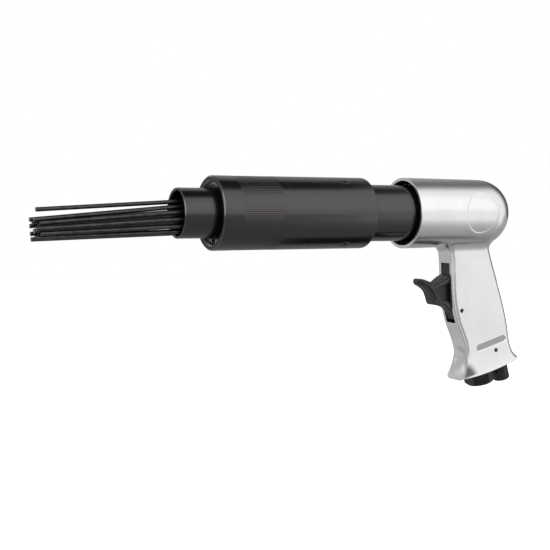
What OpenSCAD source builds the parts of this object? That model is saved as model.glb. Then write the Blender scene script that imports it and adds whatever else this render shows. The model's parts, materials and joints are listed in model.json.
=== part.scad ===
// Needle scaler, pneumatic, with a pistol grip: a bunch of loose steel needles in a sliding nose
// tube, a sleeve round its return spring, a hammer cylinder, and a cast handle with the valves.
// Frame: origin at the centre of the sleeve's mouth on the barrel axis, +X to the rear, +Z up.
// Lengths are in millimetres and angles in degrees.

/* [Sleeve] */
// wall of the sleeve round the return spring
sleeve_wall = 4.5; // [3.5:0.25:6]
// length of the sleeve
sleeve_len = 126; // [116:1:140]
// chamfer round the sleeve's mouth
sleeve_chamfer = 1.2; // [0.4:0.1:1.6]
// rounding of the sleeve's rear edge
sleeve_rear_r = 2.2; // [0.6:0.2:3]
// start of the knurled band behind the sleeve's mouth
knurl_x = 16; // [10:1:40]
// length of the knurled band
knurl_len = 32; // [15:1:45]
// number of straight knurl ridges
knurl_ridges = 110; // [60:10:160]
// depth of the knurl
knurl_depth = 0.45; // [0.2:0.05:0.8]
// place of the set screws along the sleeve's hold on the cylinder, as a share of it from the front
screw_share = 0.465; // [0.35:0.005:0.65]
// diameter of the set screws
screw_d = 6; // [4:0.5:8]
// number of set screws
screw_count = 3; // [2:1:4]

/* [Nose] */
// wall of the nose tube
tube_wall = 2; // [1.5:0.1:3]
// room between the needles and the nose tube's bore
tube_play = 2.5; // [2.2:0.1:3]
// step from the nose tube's bore to the seat of the needle holder and the anvil
tube_seat_step = 0.6; // [0.4:0.1:1]
// room for the return spring between nose tube and sleeve
spring_room = 4.5; // [4:0.1:6]
// how far the nose tube stands out of the sleeve
tube_out = 25.6; // [12:0.2:40]
// length of the skirt that guides the tube in the sleeve
skirt_len = 20; // [14:1:24]
// distance of the retaining ring behind the sleeve's mouth
ring_inset = 3; // [2:0.25:6]
// thickness of the retaining ring
ring_t = 1.75; // [1.2:0.05:2.5]
// how far the retaining ring stands into the sleeve's bore
ring_lip = 1.9; // [1.4:0.1:2.6]
// length of the guide ring
guide_len = 6; // [4:0.5:10]
// wire diameter of the return spring
spring_wire = 2.6; // [1.8:0.1:2.8]
// turns of the return spring
spring_turns = 8; // [5:1:9]

/* [Needles] */
// diameter of a needle
needle_d = 3; // [2.4:0.1:3.1]
// length of a needle with its head
needle_len = 180; // [150:1:200]
// gap between the heads of two needles
needle_head_gap = 0.8; // [0.6:0.1:1.2]
// thickness of a needle's head
needle_head_t = 3; // [2:0.25:5]
// step from one circle of needles to the next
needle_pitch = 6; // [5.9:0.05:6.1]
// free travel of a needle in the holder
needle_float = 6; // [3:0.5:8]
// gap between the needles where they bunch at the tips
needle_tip_gap = 0.48; // [0.3:0.02:1]
// gap between the lowest needle and the nose tube's lip, to which the bunch hangs down
needle_lip_gap = 0.32; // [0.3:0.02:2]
// height of the one stray needle's tip
stray_z = 2.2; // [0:0.2:8]
// distance of the needle holder behind the sleeve's mouth
holder_inset = 42; // [36:1:48]
// thickness of the needle holder
holder_t = 6; // [4:0.5:7]

/* [Hammer] */
// length of the anvil's head
anvil_head_len = 13; // [8:0.5:18]
// diameter of the anvil's shank
anvil_shank_d = 15; // [12:0.5:17]
// travel of the anvil
anvil_travel = 6; // [3:0.5:8]
// how far the anvil's shank stands into the hammer bore
anvil_stick = 4; // [2:0.5:8]
// length of the rubber buffer ring
buffer_len = 8; // [4:0.5:12]
// length of the piston
piston_len = 45; // [35:1:55]
// bore of the cylinder
cyl_bore_d = 19; // [18:0.5:22]
// how much smaller the cylinder's neck is than the sleeve's bore, on each side
neck_step = 0.7; // [0.4:0.1:1.5]
// how much of the neck shows between sleeve and handle
neck_show = 38; // [20:1:50]
// length of the shank's guide in the cylinder
cyl_nose_len = 50; // [30:1:60]
// shoulder between the cylinder's neck and its screwed end
thread_step = 4.8; // [3.8:0.2:5.8]
// length of the cylinder's screwed end
thread_len = 25; // [20:1:28]

/* [Handle barrel] */
// gap between the neck and the mouth, where the air leaves
exhaust_gap = 3.45; // [2.5:0.05:4.5]
// wall of the mouth
mouth_wall = 2.5; // [2:0.25:3.5]
// how much narrower the barrel is where the dome begins
barrel_taper = 1.5; // [0.5:0.25:2.5]
// metal between the valves and the end of the dome
dome_deep = 18.6; // [17:0.2:24]
// depth of the mouth
mouth_depth = 40; // [36:1:42]
// radius of the flat middle of the dome
dome_flat = 2; // [0.5:0.5:8]
// diameter of the round sunk field on the left side
badge_d = 31; // [20:1:32]
// distance of the round field behind the mouth
badge_set = 59.4; // [55:0.2:64]
// depth of the sunk fields
field_depth = 0.5; // [0.3:0.1:1]

/* [Grip] */
// distance of the grip's axis behind the mouth, on the barrel axis
grip_set = 53.6; // [52:0.2:56]
// lean of the grip from upright
grip_tilt = 15; // [13:0.5:17]
// distance of the foot from the barrel axis, along the grip
grip_len = 129.6; // [126:0.4:134]
// width of the grip's side panels
grip_w = 20.25; // [19.5:0.25:24]
// width of the raised front strip
strip_w = 17.8; // [16.6:0.2:18.2]
// middle distance of the front strip before the grip's axis
grip_front = 25.5; // [24.5:0.25:27]
// middle distance of the grip's back behind its axis
grip_rear = 21.75; // [21:0.25:24]
// radius of the grip's back edges
grip_back_r = 8; // [5:0.5:9]
// fillet between grip and barrel
blend_r = 6; // [4:0.5:8]
// flare of the foot at the front
flare_front = 9.7; // [5:0.2:12]
// flare of the foot at the back
flare_rear = 4.8; // [2:0.2:7]
// flare of the foot at the sides
flare_side = 2.4; // [1:0.2:4]
// length of the sunk label field
label_len = 30; // [20:1:32]
// width of the sunk label field
label_w = 5; // [3:0.5:7]
// distance of the label field from the foot
label_up = 19.4; // [17:0.2:23]
// distance of the label field's middle before the grip's axis
label_front = 0.2; // [-1:0.2:3]

/* [Trigger] */
// width of the trigger slot
slot_w = 11.4; // [9:0.2:13]
// distance of the slot's top from the barrel axis, along the grip
slot_top = 36; // [34:0.5:38]
// length of the slot
slot_len = 48.6; // [47:0.2:51]
// distance of the slot's floor before the grip's axis
slot_floor = 12; // [11:0.25:13]
// distance of the trigger's pivot above the slot's lower end
pivot_up = 9.1; // [8:0.1:11]
// distance of the trigger's pivot before the grip's axis
pivot_front = 21.8; // [21:0.2:22.2]
// reach of the trigger's hook before the pivot
trigger_reach = 31.5; // [28:0.5:35]
// diameter of the two roll pins
pin_d = 3; // [2:0.25:3.5]

/* [Throttle] */
// distance of the throttle valve below the slot's top
throttle_set = 22; // [20:0.5:24]
// bore of the throttle valve
throttle_d = 12; // [10:0.5:13]
// depth of the throttle bore behind the grip's axis
throttle_deep = 16.5; // [15:0.5:17]
// diameter of the throttle stem
stem_d = 5; // [4:0.25:6]

/* [Air inlet] */
// distance of the inlet's axis before the grip's axis
inlet_front = 11.3; // [10.5:0.1:12]
// width across flats of the inlet's hexagon
inlet_hex = 22; // [20:1:23]
// height of the inlet's hexagon
inlet_hex_h = 10.6; // [8:0.2:14]
// diameter of the inlet's screwed end
inlet_d = 15; // [14:0.5:16]
// length of the inlet's screwed end in the grip
inlet_deep = 18; // [14:0.5:19]
// diameter of the hose thread's hole
hose_d = 11.5; // [10:0.25:13]
// depth of the hose thread's hole
hose_deep = 14; // [10:0.5:18]

/* [Regulator] */
// distance of the regulator's axis behind the grip's axis
regulator_back = 10.2; // [10:0.1:11]
// diameter of the regulator's plug
regulator_d = 14.4; // [13:0.2:15]
// how far the knob stands out of the foot
knob_out = 16.6; // [10:0.2:22]
// number of flutes round the knob
knob_flutes = 14; // [8:1:18]

/* [Hidden] */
$fn = 96;
// clearances: running fit, held fit, and bodies that pass each other
run_gap = 0.08;
fit_gap = 0.05;
slide_gap = 0.3;
seat_gap = 0.2;
// overrun of cuts
over = 2;
// edge break of turned pieces
edge = 0.6;
quarter = 90;
turn = 360;

// stations along the barrel axis, from the sleeve's mouth to the rear
ring_x = ring_inset + fit_gap;
guide_x = ring_inset + ring_t + fit_gap;
guide_x1 = guide_x + guide_len;
holder_x1 = holder_inset + holder_t;
holder_mid = holder_inset + holder_t / 2;
head_gap = 0.45;
strike_gap = 1;
anvil_x = holder_x1 + head_gap + needle_head_t + needle_float + strike_gap + anvil_travel;
anvil_neck_x = anvil_x + anvil_head_len;
tube_x1 = anvil_neck_x;
skirt_x = tube_x1 - skirt_len;
buffer_x = tube_x1 + seat_gap;
cyl_x = buffer_x + buffer_len;
chamber_x = cyl_x + cyl_nose_len;
anvil_x1 = chamber_x + anvil_stick;
handle_x = sleeve_len + neck_show;
boss_x = handle_x + mouth_depth;
cyl_x1 = boss_x + thread_len;
screw_x = cyl_x + (sleeve_len - cyl_x) * screw_share;

// radii round the barrel axis, from the needles outwards
needle_counts = [1, 6, 12];
bunch_r = needle_pitch * (len(needle_counts) - 1);
tube_bore_r = bunch_r + needle_d / 2 + tube_play;
tube_seat_r = tube_bore_r + tube_seat_step;
tube_r = tube_bore_r + tube_wall;
sleeve_bore_r = tube_r + spring_room;
sleeve_r = sleeve_bore_r + sleeve_wall;
groove_depth = 1.1;
rear_steps = 5;
groove_r = sleeve_bore_r + groove_depth;
ring_in_r = sleeve_bore_r - ring_lip;
neck_r = sleeve_bore_r - neck_step;
thread_r = neck_r - thread_step;
cyl_bore_r = cyl_bore_d / 2;
shank_r = anvil_shank_d / 2;
screw_r = screw_d / 2;
screw_sunk = 1.5;
screw_below = 0.5;
socket_share = 0.52;
socket_deep = 2.6;
ring_eye_share = 1.35;

// needles: circles of 1, 6 and 12 round the axis, closer together at the tips, where they hang down
needle_count = 19;
needle_tip_x = holder_x1 + head_gap + needle_head_t - needle_len;
// number of the stray needle
stray_index = 8;
// count that scatters the needles' resting places over their free travel
scatter_count = 11;
hole_play = 0.45;
bunch_share = (needle_d + needle_tip_gap) / needle_pitch;
lip_share = (holder_mid + tube_out) / (holder_mid - needle_tip_x);
lip_drop = tube_bore_r - needle_d / 2 - needle_lip_gap;
needle_droop = (lip_drop - bunch_r * (1 - lip_share * (1 - bunch_share))) / lip_share;

function circle_of(i) = i == 1 ? 0 : i <= needle_counts[0] + needle_counts[1] ? 1 : 2;
function place_in_circle(i) = i == 1 ? 0 : circle_of(i) == 1 ? i - 2 : i - 2 - needle_counts[1];
function needle_angle(i) = quarter + place_in_circle(i) * turn / needle_counts[circle_of(i)];
function needle_seat(i) = let (r = needle_pitch * circle_of(i), a = needle_angle(i))
    [holder_mid, r * cos(a), r * sin(a)];
function needle_tip(i) = let (s = needle_seat(i) * bunch_share)
    [needle_tip_x, s[1], i == stray_index ? stray_z : s[2] - needle_droop];
function needle_back(i) = let (d = needle_seat(i) - needle_tip(i)) d / norm(d);
function needle_rest(i) = needle_float * ((i * scatter_count) % needle_count) / needle_count;
function needle_head(i) = let (n = needle_back(i))
    needle_seat(i) + n * ((holder_t / 2 + head_gap) / n[0] + needle_rest(i));
function needle_name(i) = str("needle_", i < 10 ? "0" : "", i);

// valve stack behind the cylinder
case_len = 7;
cover_len = 6.8;
chest_r = thread_r + fit_gap;
case_x1 = cyl_x1 + case_len;
chest_x1 = case_x1 + cover_len;
stack_r = thread_r - fit_gap;
disc_t = 1.2;
disc_lift = 0.6;
disc_pocket = disc_t + disc_lift + 2 * seat_gap;
disc_x = case_x1 - disc_pocket + seat_gap;
valve_port_r = 3;
cover_port_share = 0.75;
dowel_r = 1.25;
dowel_inset = 3.6;
dowel_at_r = thread_r - dowel_inset;
disc_wall = 3.4;
disc_r = dowel_at_r - disc_wall;
dowel_sunk = 3;
piston_gap = 0.5;
piston_x1 = cyl_x1 - piston_gap;
piston_x = piston_x1 - piston_len;
port_r = 3;
port_set = 24;

// handle
mouth_r = neck_r + exhaust_gap;
barrel_r = mouth_r + mouth_wall;
barrel_rear_r = barrel_r - barrel_taper / 2;
dome_r = barrel_rear_r - dome_flat;
handle_x1 = chest_x1 + dome_deep;
dome_x = handle_x1 - dome_r;
mouth_edge = 0.8;
grip_x = handle_x + grip_set;
panel_w = grip_w / 2;
strip_half = strip_w / 2;
strip_edge_r = 1.4;
strip_edge_steps = 3;
back_edge_steps = 7;
step_back = 2.1;
step_len = 0.8;
panel_step = 1;

// lengthwise shape of the grip: places along it, its front and back, as shares of their sizes
grip_shares = [0.12, 0.19, 0.265, 0.36, 0.51, 0.64, 0.78, 0.88, 1];
front_shares = [0.765, 0.785, 0.83, 0.935, 1.08, 1.09, 0.99, 0.975, 0.98];
rear_shares = [0.925, 0.925, 0.925, 0.95, 1.015, 1.06, 1.06, 1, 0.945];
flare_share = 0.8;
flare_power = 2.5;
rear_flare_power = 6;
grip_rings = 18;

// the fillet's tangent points on the grip and on the barrel
blend_z = sqrt(pow(barrel_rear_r + blend_r, 2) - pow(panel_w + blend_r, 2));
blend_low = blend_z / cos(grip_tilt) - panel_w * sin(grip_tilt);
blend_high = blend_low - blend_z * blend_r / (barrel_rear_r + blend_r);
blend_steps = 4;

// trigger
pivot_down = slot_top + slot_len - pivot_up;
throttle_down = slot_top + throttle_set;
trigger_w = slot_w - 2 * slide_gap;
trigger_top = slot_top + slide_gap;
trigger_foot_gap = 2;
trigger_h = slot_len - 2 * slide_gap - trigger_foot_gap;
trigger_back = 2.8;
pin_r = pin_d / 2;
pin_sunk = 1;
pin_len = grip_w - 2 * pin_sunk;
pin_wall = 0.55;
pin_slit = 0.7;
pocket_depth = 1.3;
run_steps = 4;
// the trigger's outline: shares of its reach before the pivot, and of its height from the top
trigger_shares = [
    [0.03, 0.175], [0.21, 0.195], [0.42, 0.24], [0.525, 0.26], [0.605, 0.215], [0.73, 0.15],
    [0.875, 0.095], [0.96, 0.1], [1, 0.135], [0.97, 0.185], [0.86, 0.25], [0.75, 0.34],
    [0.71, 0.455], [0.7, 0.55], [0.66, 0.61], [0.51, 0.655], [0.385, 0.7], [0.29, 0.755],
    [0.215, 0.825], [0.16, 0.9]
];
// the sunk field in the trigger's sides, in the same shares
pocket_shares = [[0.12, 0.26], [0.46, 0.33], [0.5, 0.45], [0.45, 0.56], [0.3, 0.62], [0.14, 0.66]];
// the guide strip in the same shares: its foot's front, where it leans back, and its top corners
strip_foot_share = 0.115;
strip_neck_share = 0.3;
strip_top_shares = [-0.125, -0.075];
// width of the trigger from the grip to the hook's tip, shares of the reach and of the width
plan_shares = [[-0.4, 1], [0.3, 1], [0.62, 0.98], [0.82, 0.9], [0.94, 0.76], [1.02, 0.5]];

// throttle valve, along the trigger's push
throttle_r = throttle_d / 2;
bushing_len = slot_floor;
stem_r = stem_d / 2;
stem_head_gap = 1.1;
stem_head_r = throttle_r - stem_head_gap;
stem_head_t = 2.4;
seal_t = 1.5;
stem_tip = pivot_front - trigger_back - seat_gap;
gallery_gap = 1.6;
gallery_r = stem_r + gallery_gap;
gallery_len = 7;
throttle_wire = 0.8;
throttle_turns = 6;
throttle_spring_gap = 1.2;
throttle_spring_r = stem_r + throttle_spring_gap;
passage_r = 3.5;

// air inlet
inlet_r = inlet_d / 2;
inlet_seal_t = 1.2;
screen_t = 1.4;
screen_hole_r = 0.8;
screen_circles = 2;
inlet_top = grip_len - inlet_deep;
inlet_pocket = 8;
inlet_shoulder = 2;
cross_down = inlet_top - screen_t - inlet_pocket + passage_r;
inlet_hex_u = grip_len + inlet_seal_t;
inlet_end = inlet_hex_u + inlet_hex_h;
hex_corner_r = inlet_hex / 2 / cos(turn / 12);
hex_bevel = hex_corner_r - inlet_hex / 2;

// regulator
regulator_r = regulator_d / 2;
knob_r = regulator_r - slide_gap;
regulator_web = 3;
regulator_top = cross_down - passage_r - regulator_web;
window_deep = 14;
groove_at = 12.4;
pin_groove_deep = 1.6;
pin_groove_r = regulator_r - pin_groove_deep;
regulator_pin_back = regulator_back - pin_groove_r - pin_r - run_gap;
regulator_pin_down = grip_len - groove_at;
o_ring_at = 5.2;
o_ring_r = 0.9;
flute_r = 1.1;
knob_steps = 6;
knob_round = 2;
regulator_end = grip_len + knob_out;

needle_nodes = [for (i = [1 : needle_count]) needle_name(i)];

// a solid of revolution about the barrel axis, from points of radius and place along the axis
module turned(points) rotate([0, quarter, 0]) rotate_extrude() polygon(points);

// a round bar or bore along the barrel axis
module bar(r, x0, x1) translate([x0, 0, 0]) rotate([0, quarter, 0]) cylinder(r = r, h = x1 - x0);

// a ring about the barrel axis, with broken edges
module ring_about(r_in, r_out, x0, x1, e) {
    turned([
        [r_in, x0 + e], [r_in + e, x0], [r_out - e, x0], [r_out, x0 + e],
        [r_out, x1 - e], [r_out - e, x1], [r_in + e, x1], [r_in, x1 - e]
    ]);
}

// the grip's own frame: x to the back, y across, z up along the grip
module in_grip() translate([grip_x, 0, 0]) rotate([0, -grip_tilt, 0]) children();

// a round bar or bore along the grip, between two distances from the barrel axis
module down_bar(r, back, u0, u1) translate([back, 0, -u1]) cylinder(r = r, h = u1 - u0);

// a round bar or bore across the front and back of the grip
module back_bar(r, v0, v1, u) translate([v0, 0, -u]) rotate([0, quarter, 0]) cylinder(r = r, h = v1 - v0);

// a round bar or bore across the sides of the grip
module side_bar(r, len, v, u) translate([v, 0, -u]) rotate([quarter, 0, 0])
    cylinder(r = r, h = len, center = true);

// cubic through hand-set places and values
function place_of(keys, t, i = 0) = i >= len(keys) - 2 || t < keys[i + 1] ? i : place_of(keys, t, i + 1);
function lean_at(keys, vals, i) = let (a = max(i - 1, 0), b = min(i + 1, len(keys) - 1))
    (vals[b] - vals[a]) / (keys[b] - keys[a]);
function curve_at(keys, vals, t) = let (
    i = place_of(keys, t),
    h = keys[i + 1] - keys[i],
    s = (t - keys[i]) / h,
    m0 = lean_at(keys, vals, i) * h,
    m1 = lean_at(keys, vals, i + 1) * h
) vals[i] * (1 + 2 * s) * pow(1 - s, 2) + m0 * s * pow(1 - s, 2)
    + vals[i + 1] * s * s * (3 - 2 * s) - m1 * s * s * (1 - s);

// smooth run through outline points, with steps between each two
function run_point(p, i, s) = let (
    n = len(p),
    a = p[max(i - 1, 0)], b = p[i], c = p[min(i + 1, n - 1)], d = p[min(i + 2, n - 1)]
) (2 * b + (c - a) * s + (2 * a - 5 * b + 4 * c - d) * s * s + (3 * b - a - 3 * c + d) * s * s * s) / 2;
function smooth_run(p, steps) = concat(
    [for (i = [0 : len(p) - 2]) for (k = [0 : steps - 1]) run_point(p, i, k / steps)],
    [p[len(p) - 1]]
);
function arc(cx, cy, r, a0, a1, steps) =
    [for (k = [0 : steps]) let (a = a0 + (a1 - a0) * k / steps) [cx + r * cos(a), cy + r * sin(a)]];

// a closed form through rings of points that run the same way round
module skin(rings) {
    n = len(rings[0]);
    m = len(rings);
    points = [for (ring = rings) for (p = ring) p];
    walls = [
        for (j = [0 : m - 2]) for (i = [0 : n - 1]) let (k = (i + 1) % n)
            each [[j * n + i, (j + 1) * n + k, j * n + k], [j * n + i, (j + 1) * n + i, (j + 1) * n + k]]
    ];
    first = [for (i = [1 : n - 2]) [0, i, i + 1]];
    last = [for (i = [1 : n - 2]) [(m - 1) * n, (m - 1) * n + i + 1, (m - 1) * n + i]];
    polyhedron(points = points, faces = concat(walls, first, last));
}

// a coil along z, one unbroken tube of wire
module coil(r, wire, len, turns) {
    rings_per_turn = 16;
    sides = 6;
    steps = turns * rings_per_turn;
    rise = (len - wire) / turns;
    slope = atan2(rise, turn * r * PI / (turn / 2));
    skin([
        for (k = [0 : steps]) let (a = turn * k / rings_per_turn, z = wire / 2 + (len - wire) * k / steps) [
            for (q = [0 : sides - 1]) let (
                b = -turn * q / sides,
                out = wire / 2 * cos(b),
                up = wire / 2 * sin(b)
            ) [
                (r + out) * cos(a) + up * sin(slope) * sin(a),
                (r + out) * sin(a) - up * sin(slope) * cos(a),
                z + up * cos(slope)
            ]
        ]
    ]);
}

// the outside of the handle's barrel with its dome, all faces moved out by grow
module barrel_form(grow) rotate([0, quarter, 0]) rotate_extrude() {
    polygon([
        [0, handle_x - grow], [barrel_r + grow - mouth_edge, handle_x - grow],
        [barrel_r + grow, handle_x - grow + mouth_edge], [barrel_rear_r + grow, dome_x], [0, dome_x]
    ]);
    intersection() {
        translate([dome_flat, dome_x]) circle(r = dome_r + grow);
        translate([dome_flat, dome_x]) square(dome_r + grow + over);
    }
    translate([0, dome_x]) square([dome_flat, dome_r + grow]);
}

// flare of the foot and fillet under the barrel, at a distance u along the grip
function foot_at(u, power) = let (s = u / grip_len) s < flare_share ? 0
    : pow((s - flare_share) / (1 - flare_share), power);
function blend_at(u) = u > blend_low ? 0
    : let (d = blend_low - max(u, blend_high)) blend_r - sqrt(blend_r * blend_r - d * d);

// one closed section of the grip: strip edge, step to the panel and round back, on both sides
function grip_section(u) = let (
    s = u / grip_len,
    grow = blend_at(u),
    foot = foot_at(u, flare_power),
    side = panel_w + foot * flare_side + grow,
    strip = strip_half + foot * flare_side + grow,
    front = -grip_front * curve_at(grip_shares, front_shares, s) - foot * flare_front,
    heel = foot_at(u, rear_flare_power) * flare_rear,
    back = grip_rear * curve_at(grip_shares, rear_shares, s) + heel + grow,
    half = concat(
        arc(
            front + strip_edge_r, strip - strip_edge_r, strip_edge_r, 2 * quarter, quarter,
            strip_edge_steps
        ),
        [[front + step_back, strip], [front + step_back + step_len, strip + panel_step]],
        arc(back - grip_back_r, side - grip_back_r, grip_back_r, quarter, 0, back_edge_steps)
    )
) concat(
    [for (p = half) [p[0], p[1], -u]],
    [for (i = [len(half) - 1 : -1 : 0]) [half[i][0], -half[i][1], -u]]
);

module grip_form() {
    start = blend_high - blend_r;
    rings = concat(
        [start],
        [for (k = [0 : blend_steps]) blend_high + (blend_low - blend_high) * k / blend_steps],
        [for (k = [1 : grip_rings]) blend_low + (grip_len - blend_low) * k / grip_rings]
    );
    skin([for (u = rings) grip_section(u)]);
}

// a long round-ended field on the grip's left side
module label_field() {
    ends = (label_len - label_w) / 2;
    rotate([quarter, 0, 0]) linear_extrude(height = panel_w) {
        square([2 * ends, label_w], center = true);
        for (s = [-1, 1]) translate([s * ends, 0]) circle(d = label_w);
    }
}

module air_passages() {
    down_bar(inlet_r + fit_gap, -inlet_front, inlet_top - screen_t, grip_len + over);
    down_bar(inlet_r - inlet_shoulder, -inlet_front, inlet_top - screen_t - inlet_pocket, inlet_top);
    back_bar(passage_r, -inlet_front, regulator_back, cross_down);
    down_bar(regulator_r + run_gap, regulator_back, regulator_top - seat_gap, grip_len + over);
    down_bar(passage_r, regulator_back, throttle_down, regulator_top);
    back_bar(throttle_r, -slot_floor - over, throttle_deep, throttle_down);
    riser();
}

// the passage from the throttle's gallery up into the valve chest
module riser() {
    from = [-gallery_len / 2, 0, -throttle_down];
    chest_z = -chest_r + passage_r;
    at_x = case_x1 + cover_len / 2 - grip_x;
    to = [
        at_x * cos(grip_tilt) + chest_z * sin(grip_tilt), 0,
        chest_z * cos(grip_tilt) - at_x * sin(grip_tilt)
    ];
    d = to - from;
    translate(from) rotate([0, atan2(d[0], d[2]), 0]) cylinder(r = passage_r, h = norm(d));
}

module handle() color("silver") difference() {
    union() {
        difference() {
            barrel_form(0);
            difference() {
                translate([handle_x + badge_set, 0, 0]) rotate([quarter, 0, 0])
                    cylinder(d = badge_d, h = 2 * barrel_r);
                barrel_form(-field_depth);
            }
        }
        in_grip() grip_form();
    }
    bar(mouth_r, handle_x - over, boss_x);
    bar(chest_r, boss_x - over, chest_x1);
    in_grip() {
        translate([-2 * grip_front, -slot_w / 2, -slot_top - slot_len])
            cube([2 * grip_front - slot_floor, slot_w, slot_len]);
        air_passages();
        side_bar(pin_r + fit_gap, 2 * grip_w, -pivot_front, pivot_down);
        side_bar(pin_r + fit_gap, 2 * grip_w, regulator_pin_back, regulator_pin_down);
        translate([-label_front, field_depth - panel_w, label_up - grip_len]) label_field();
    }
}

module cylinder_ports() for (a = [0, quarter])
    translate([handle_x + port_set, 0, 0]) rotate([a, 0, 0])
        cylinder(r = port_r, h = 2 * neck_r + over, center = true);

module screws_at(r0, r1, r) for (k = [0 : screw_count - 1])
    translate([screw_x, 0, 0]) rotate([k * turn / screw_count - quarter, 0, 0])
        translate([0, 0, r0]) cylinder(r = r, h = r1 - r0);

module cylinder_body() turned([
    [shank_r + run_gap, cyl_x + edge], [shank_r + run_gap + edge, cyl_x], [neck_r - edge, cyl_x],
    [neck_r, cyl_x + edge], [neck_r, boss_x], [thread_r, boss_x], [thread_r, cyl_x1 - edge],
    [thread_r - edge, cyl_x1], [cyl_bore_r, cyl_x1], [cyl_bore_r, chamber_x], [shank_r + run_gap, chamber_x]
]);

module cylinder_part() color("dimgray") difference() {
    cylinder_body();
    cylinder_ports();
    screws_at(neck_r - screw_sunk, neck_r + over, screw_r + fit_gap);
    translate([cyl_x1 - dowel_sunk, 0, dowel_at_r]) bar(dowel_r + fit_gap, 0, dowel_sunk + over);
}

module knurl_cut() {
    step = turn / knurl_ridges;
    crest = sleeve_r - fit_gap;
    translate([knurl_x, 0, 0]) rotate([0, quarter, 0]) difference() {
        cylinder(r = sleeve_r + over, h = knurl_len);
        linear_extrude(height = knurl_len) polygon([
            for (k = [0 : knurl_ridges - 1]) for (h = [0, 1])
                let (r = crest - h * knurl_depth, a = step * (k + h / 2))
                    [r * cos(a), r * sin(a)]
        ]);
    }
}

module sleeve() color("dimgray") difference() {
    turned([
        [sleeve_bore_r + sleeve_chamfer, 0], [sleeve_r - sleeve_chamfer, 0], [sleeve_r, sleeve_chamfer],
        each arc(sleeve_r - sleeve_rear_r, sleeve_len - sleeve_rear_r, sleeve_rear_r, 0, quarter, rear_steps),
        [neck_r + fit_gap + edge, sleeve_len], [neck_r + fit_gap, sleeve_len - edge],
        [neck_r + fit_gap, cyl_x], [sleeve_bore_r, cyl_x],
        [sleeve_bore_r, ring_inset + ring_t + 2 * fit_gap], [groove_r, ring_inset + ring_t + 2 * fit_gap],
        [groove_r, ring_inset], [sleeve_bore_r, ring_inset], [sleeve_bore_r, sleeve_chamfer]
    ]);
    knurl_cut();
    screws_at(sleeve_bore_r - over, sleeve_r + over, screw_r + fit_gap);
}

module set_screws() color("gray") difference() {
    screws_at(neck_r - screw_sunk, sleeve_r - screw_below, screw_r);
    for (k = [0 : screw_count - 1])
        translate([screw_x, 0, 0]) rotate([k * turn / screw_count - quarter, 0, 0])
            translate([0, 0, sleeve_r - screw_below - socket_deep])
                cylinder(r = screw_r * socket_share, h = socket_deep + over, $fn = 6);
}

module front_tube() color("dimgray") turned([
    [tube_bore_r + edge, -tube_out], [tube_r - edge, -tube_out], [tube_r, edge - tube_out],
    [tube_r, skirt_x], [sleeve_bore_r - slide_gap - edge, skirt_x],
    [sleeve_bore_r - slide_gap, skirt_x + edge], [sleeve_bore_r - slide_gap, tube_x1 - edge],
    [sleeve_bore_r - slide_gap - edge, tube_x1], [tube_seat_r + edge, tube_x1],
    [tube_seat_r, tube_x1 - edge], [tube_seat_r, holder_inset], [tube_bore_r, holder_inset],
    [tube_bore_r, edge - tube_out]
]);

module needle_holder() color("gray") difference() {
    ring_about(0, tube_seat_r - fit_gap, holder_inset, holder_x1, 0);
    for (i = [1 : needle_count]) translate([0, needle_seat(i)[1], needle_seat(i)[2]])
        bar(needle_d / 2 + hole_play, holder_inset - over, holder_x1 + over);
}

// open ring with two eyes for the pliers, its gap at the bottom
module retaining_ring() color("dimgray") translate([ring_x, 0, 0]) rotate([0, quarter, 0])
    linear_extrude(height = ring_t) difference() {
        eye_r = ring_lip * ring_eye_share;
        eye_at = ring_in_r + eye_r / 2;
        gap_angle = 14;
        gap_w = eye_at * sin(gap_angle);
        union() {
            difference() {
                circle(r = groove_r - fit_gap);
                circle(r = ring_in_r);
            }
            for (s = [-1, 1]) rotate(s * gap_angle) translate([eye_at, 0]) circle(r = eye_r);
        }
        translate([eye_at, 0]) square([sleeve_bore_r, gap_w], center = true);
        difference() {
            circle(r = 2 * sleeve_bore_r);
            circle(r = groove_r - fit_gap);
        }
        for (s = [-1, 1]) rotate(s * gap_angle) translate([eye_at, 0]) circle(r = eye_r / 2);
    }

module guide_ring() color("darkgray")
    ring_about(tube_r + run_gap, sleeve_bore_r - fit_gap, guide_x, guide_x1, edge);

module return_spring() color("lightgray") {
    spring_r = (tube_r + sleeve_bore_r) / 2;
    translate([guide_x1 + fit_gap, 0, 0]) rotate([0, quarter, 0])
        coil(spring_r, spring_wire, skirt_x - guide_x1 - 2 * fit_gap, spring_turns);
}

module anvil() color("gray") turned([
    [0, anvil_x], [tube_seat_r - slide_gap - edge, anvil_x], [tube_seat_r - slide_gap, anvil_x + edge],
    [tube_seat_r - slide_gap, anvil_neck_x - edge], [tube_seat_r - slide_gap - edge, anvil_neck_x],
    [shank_r + buffer_len / 4, anvil_neck_x], [shank_r, anvil_neck_x + buffer_len / 2],
    [shank_r, anvil_x1 - edge], [shank_r - edge, anvil_x1], [0, anvil_x1]
]);

module buffer_ring() color("black")
    ring_about(shank_r + buffer_len / 4 + slide_gap, sleeve_bore_r - fit_gap, buffer_x, cyl_x, edge);

module piston() color("lightgray") {
    r = cyl_bore_r - run_gap;
    nose = r / 4;
    oil_at = piston_len / 3;
    turned(concat(
        [[0, piston_x], [r - nose, piston_x], [r, piston_x + nose]],
        [for (k = [1, 2]) each [
            [r, piston_x + k * oil_at - edge], [r - edge, piston_x + k * oil_at],
            [r, piston_x + k * oil_at + edge]
        ]],
        [[r, piston_x1 - nose], [r - nose, piston_x1], [0, piston_x1]]
    ));
}

module dowel_hole(x0, x1) translate([0, 0, dowel_at_r]) bar(dowel_r + fit_gap, x0 - over, x1 + over);

module valve_case() color("goldenrod") difference() {
    bar(stack_r, cyl_x1, case_x1);
    bar(valve_port_r, cyl_x1 - over, case_x1);
    bar(disc_r + slide_gap, case_x1 - disc_pocket, case_x1 + over);
    dowel_hole(cyl_x1, case_x1);
}

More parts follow.
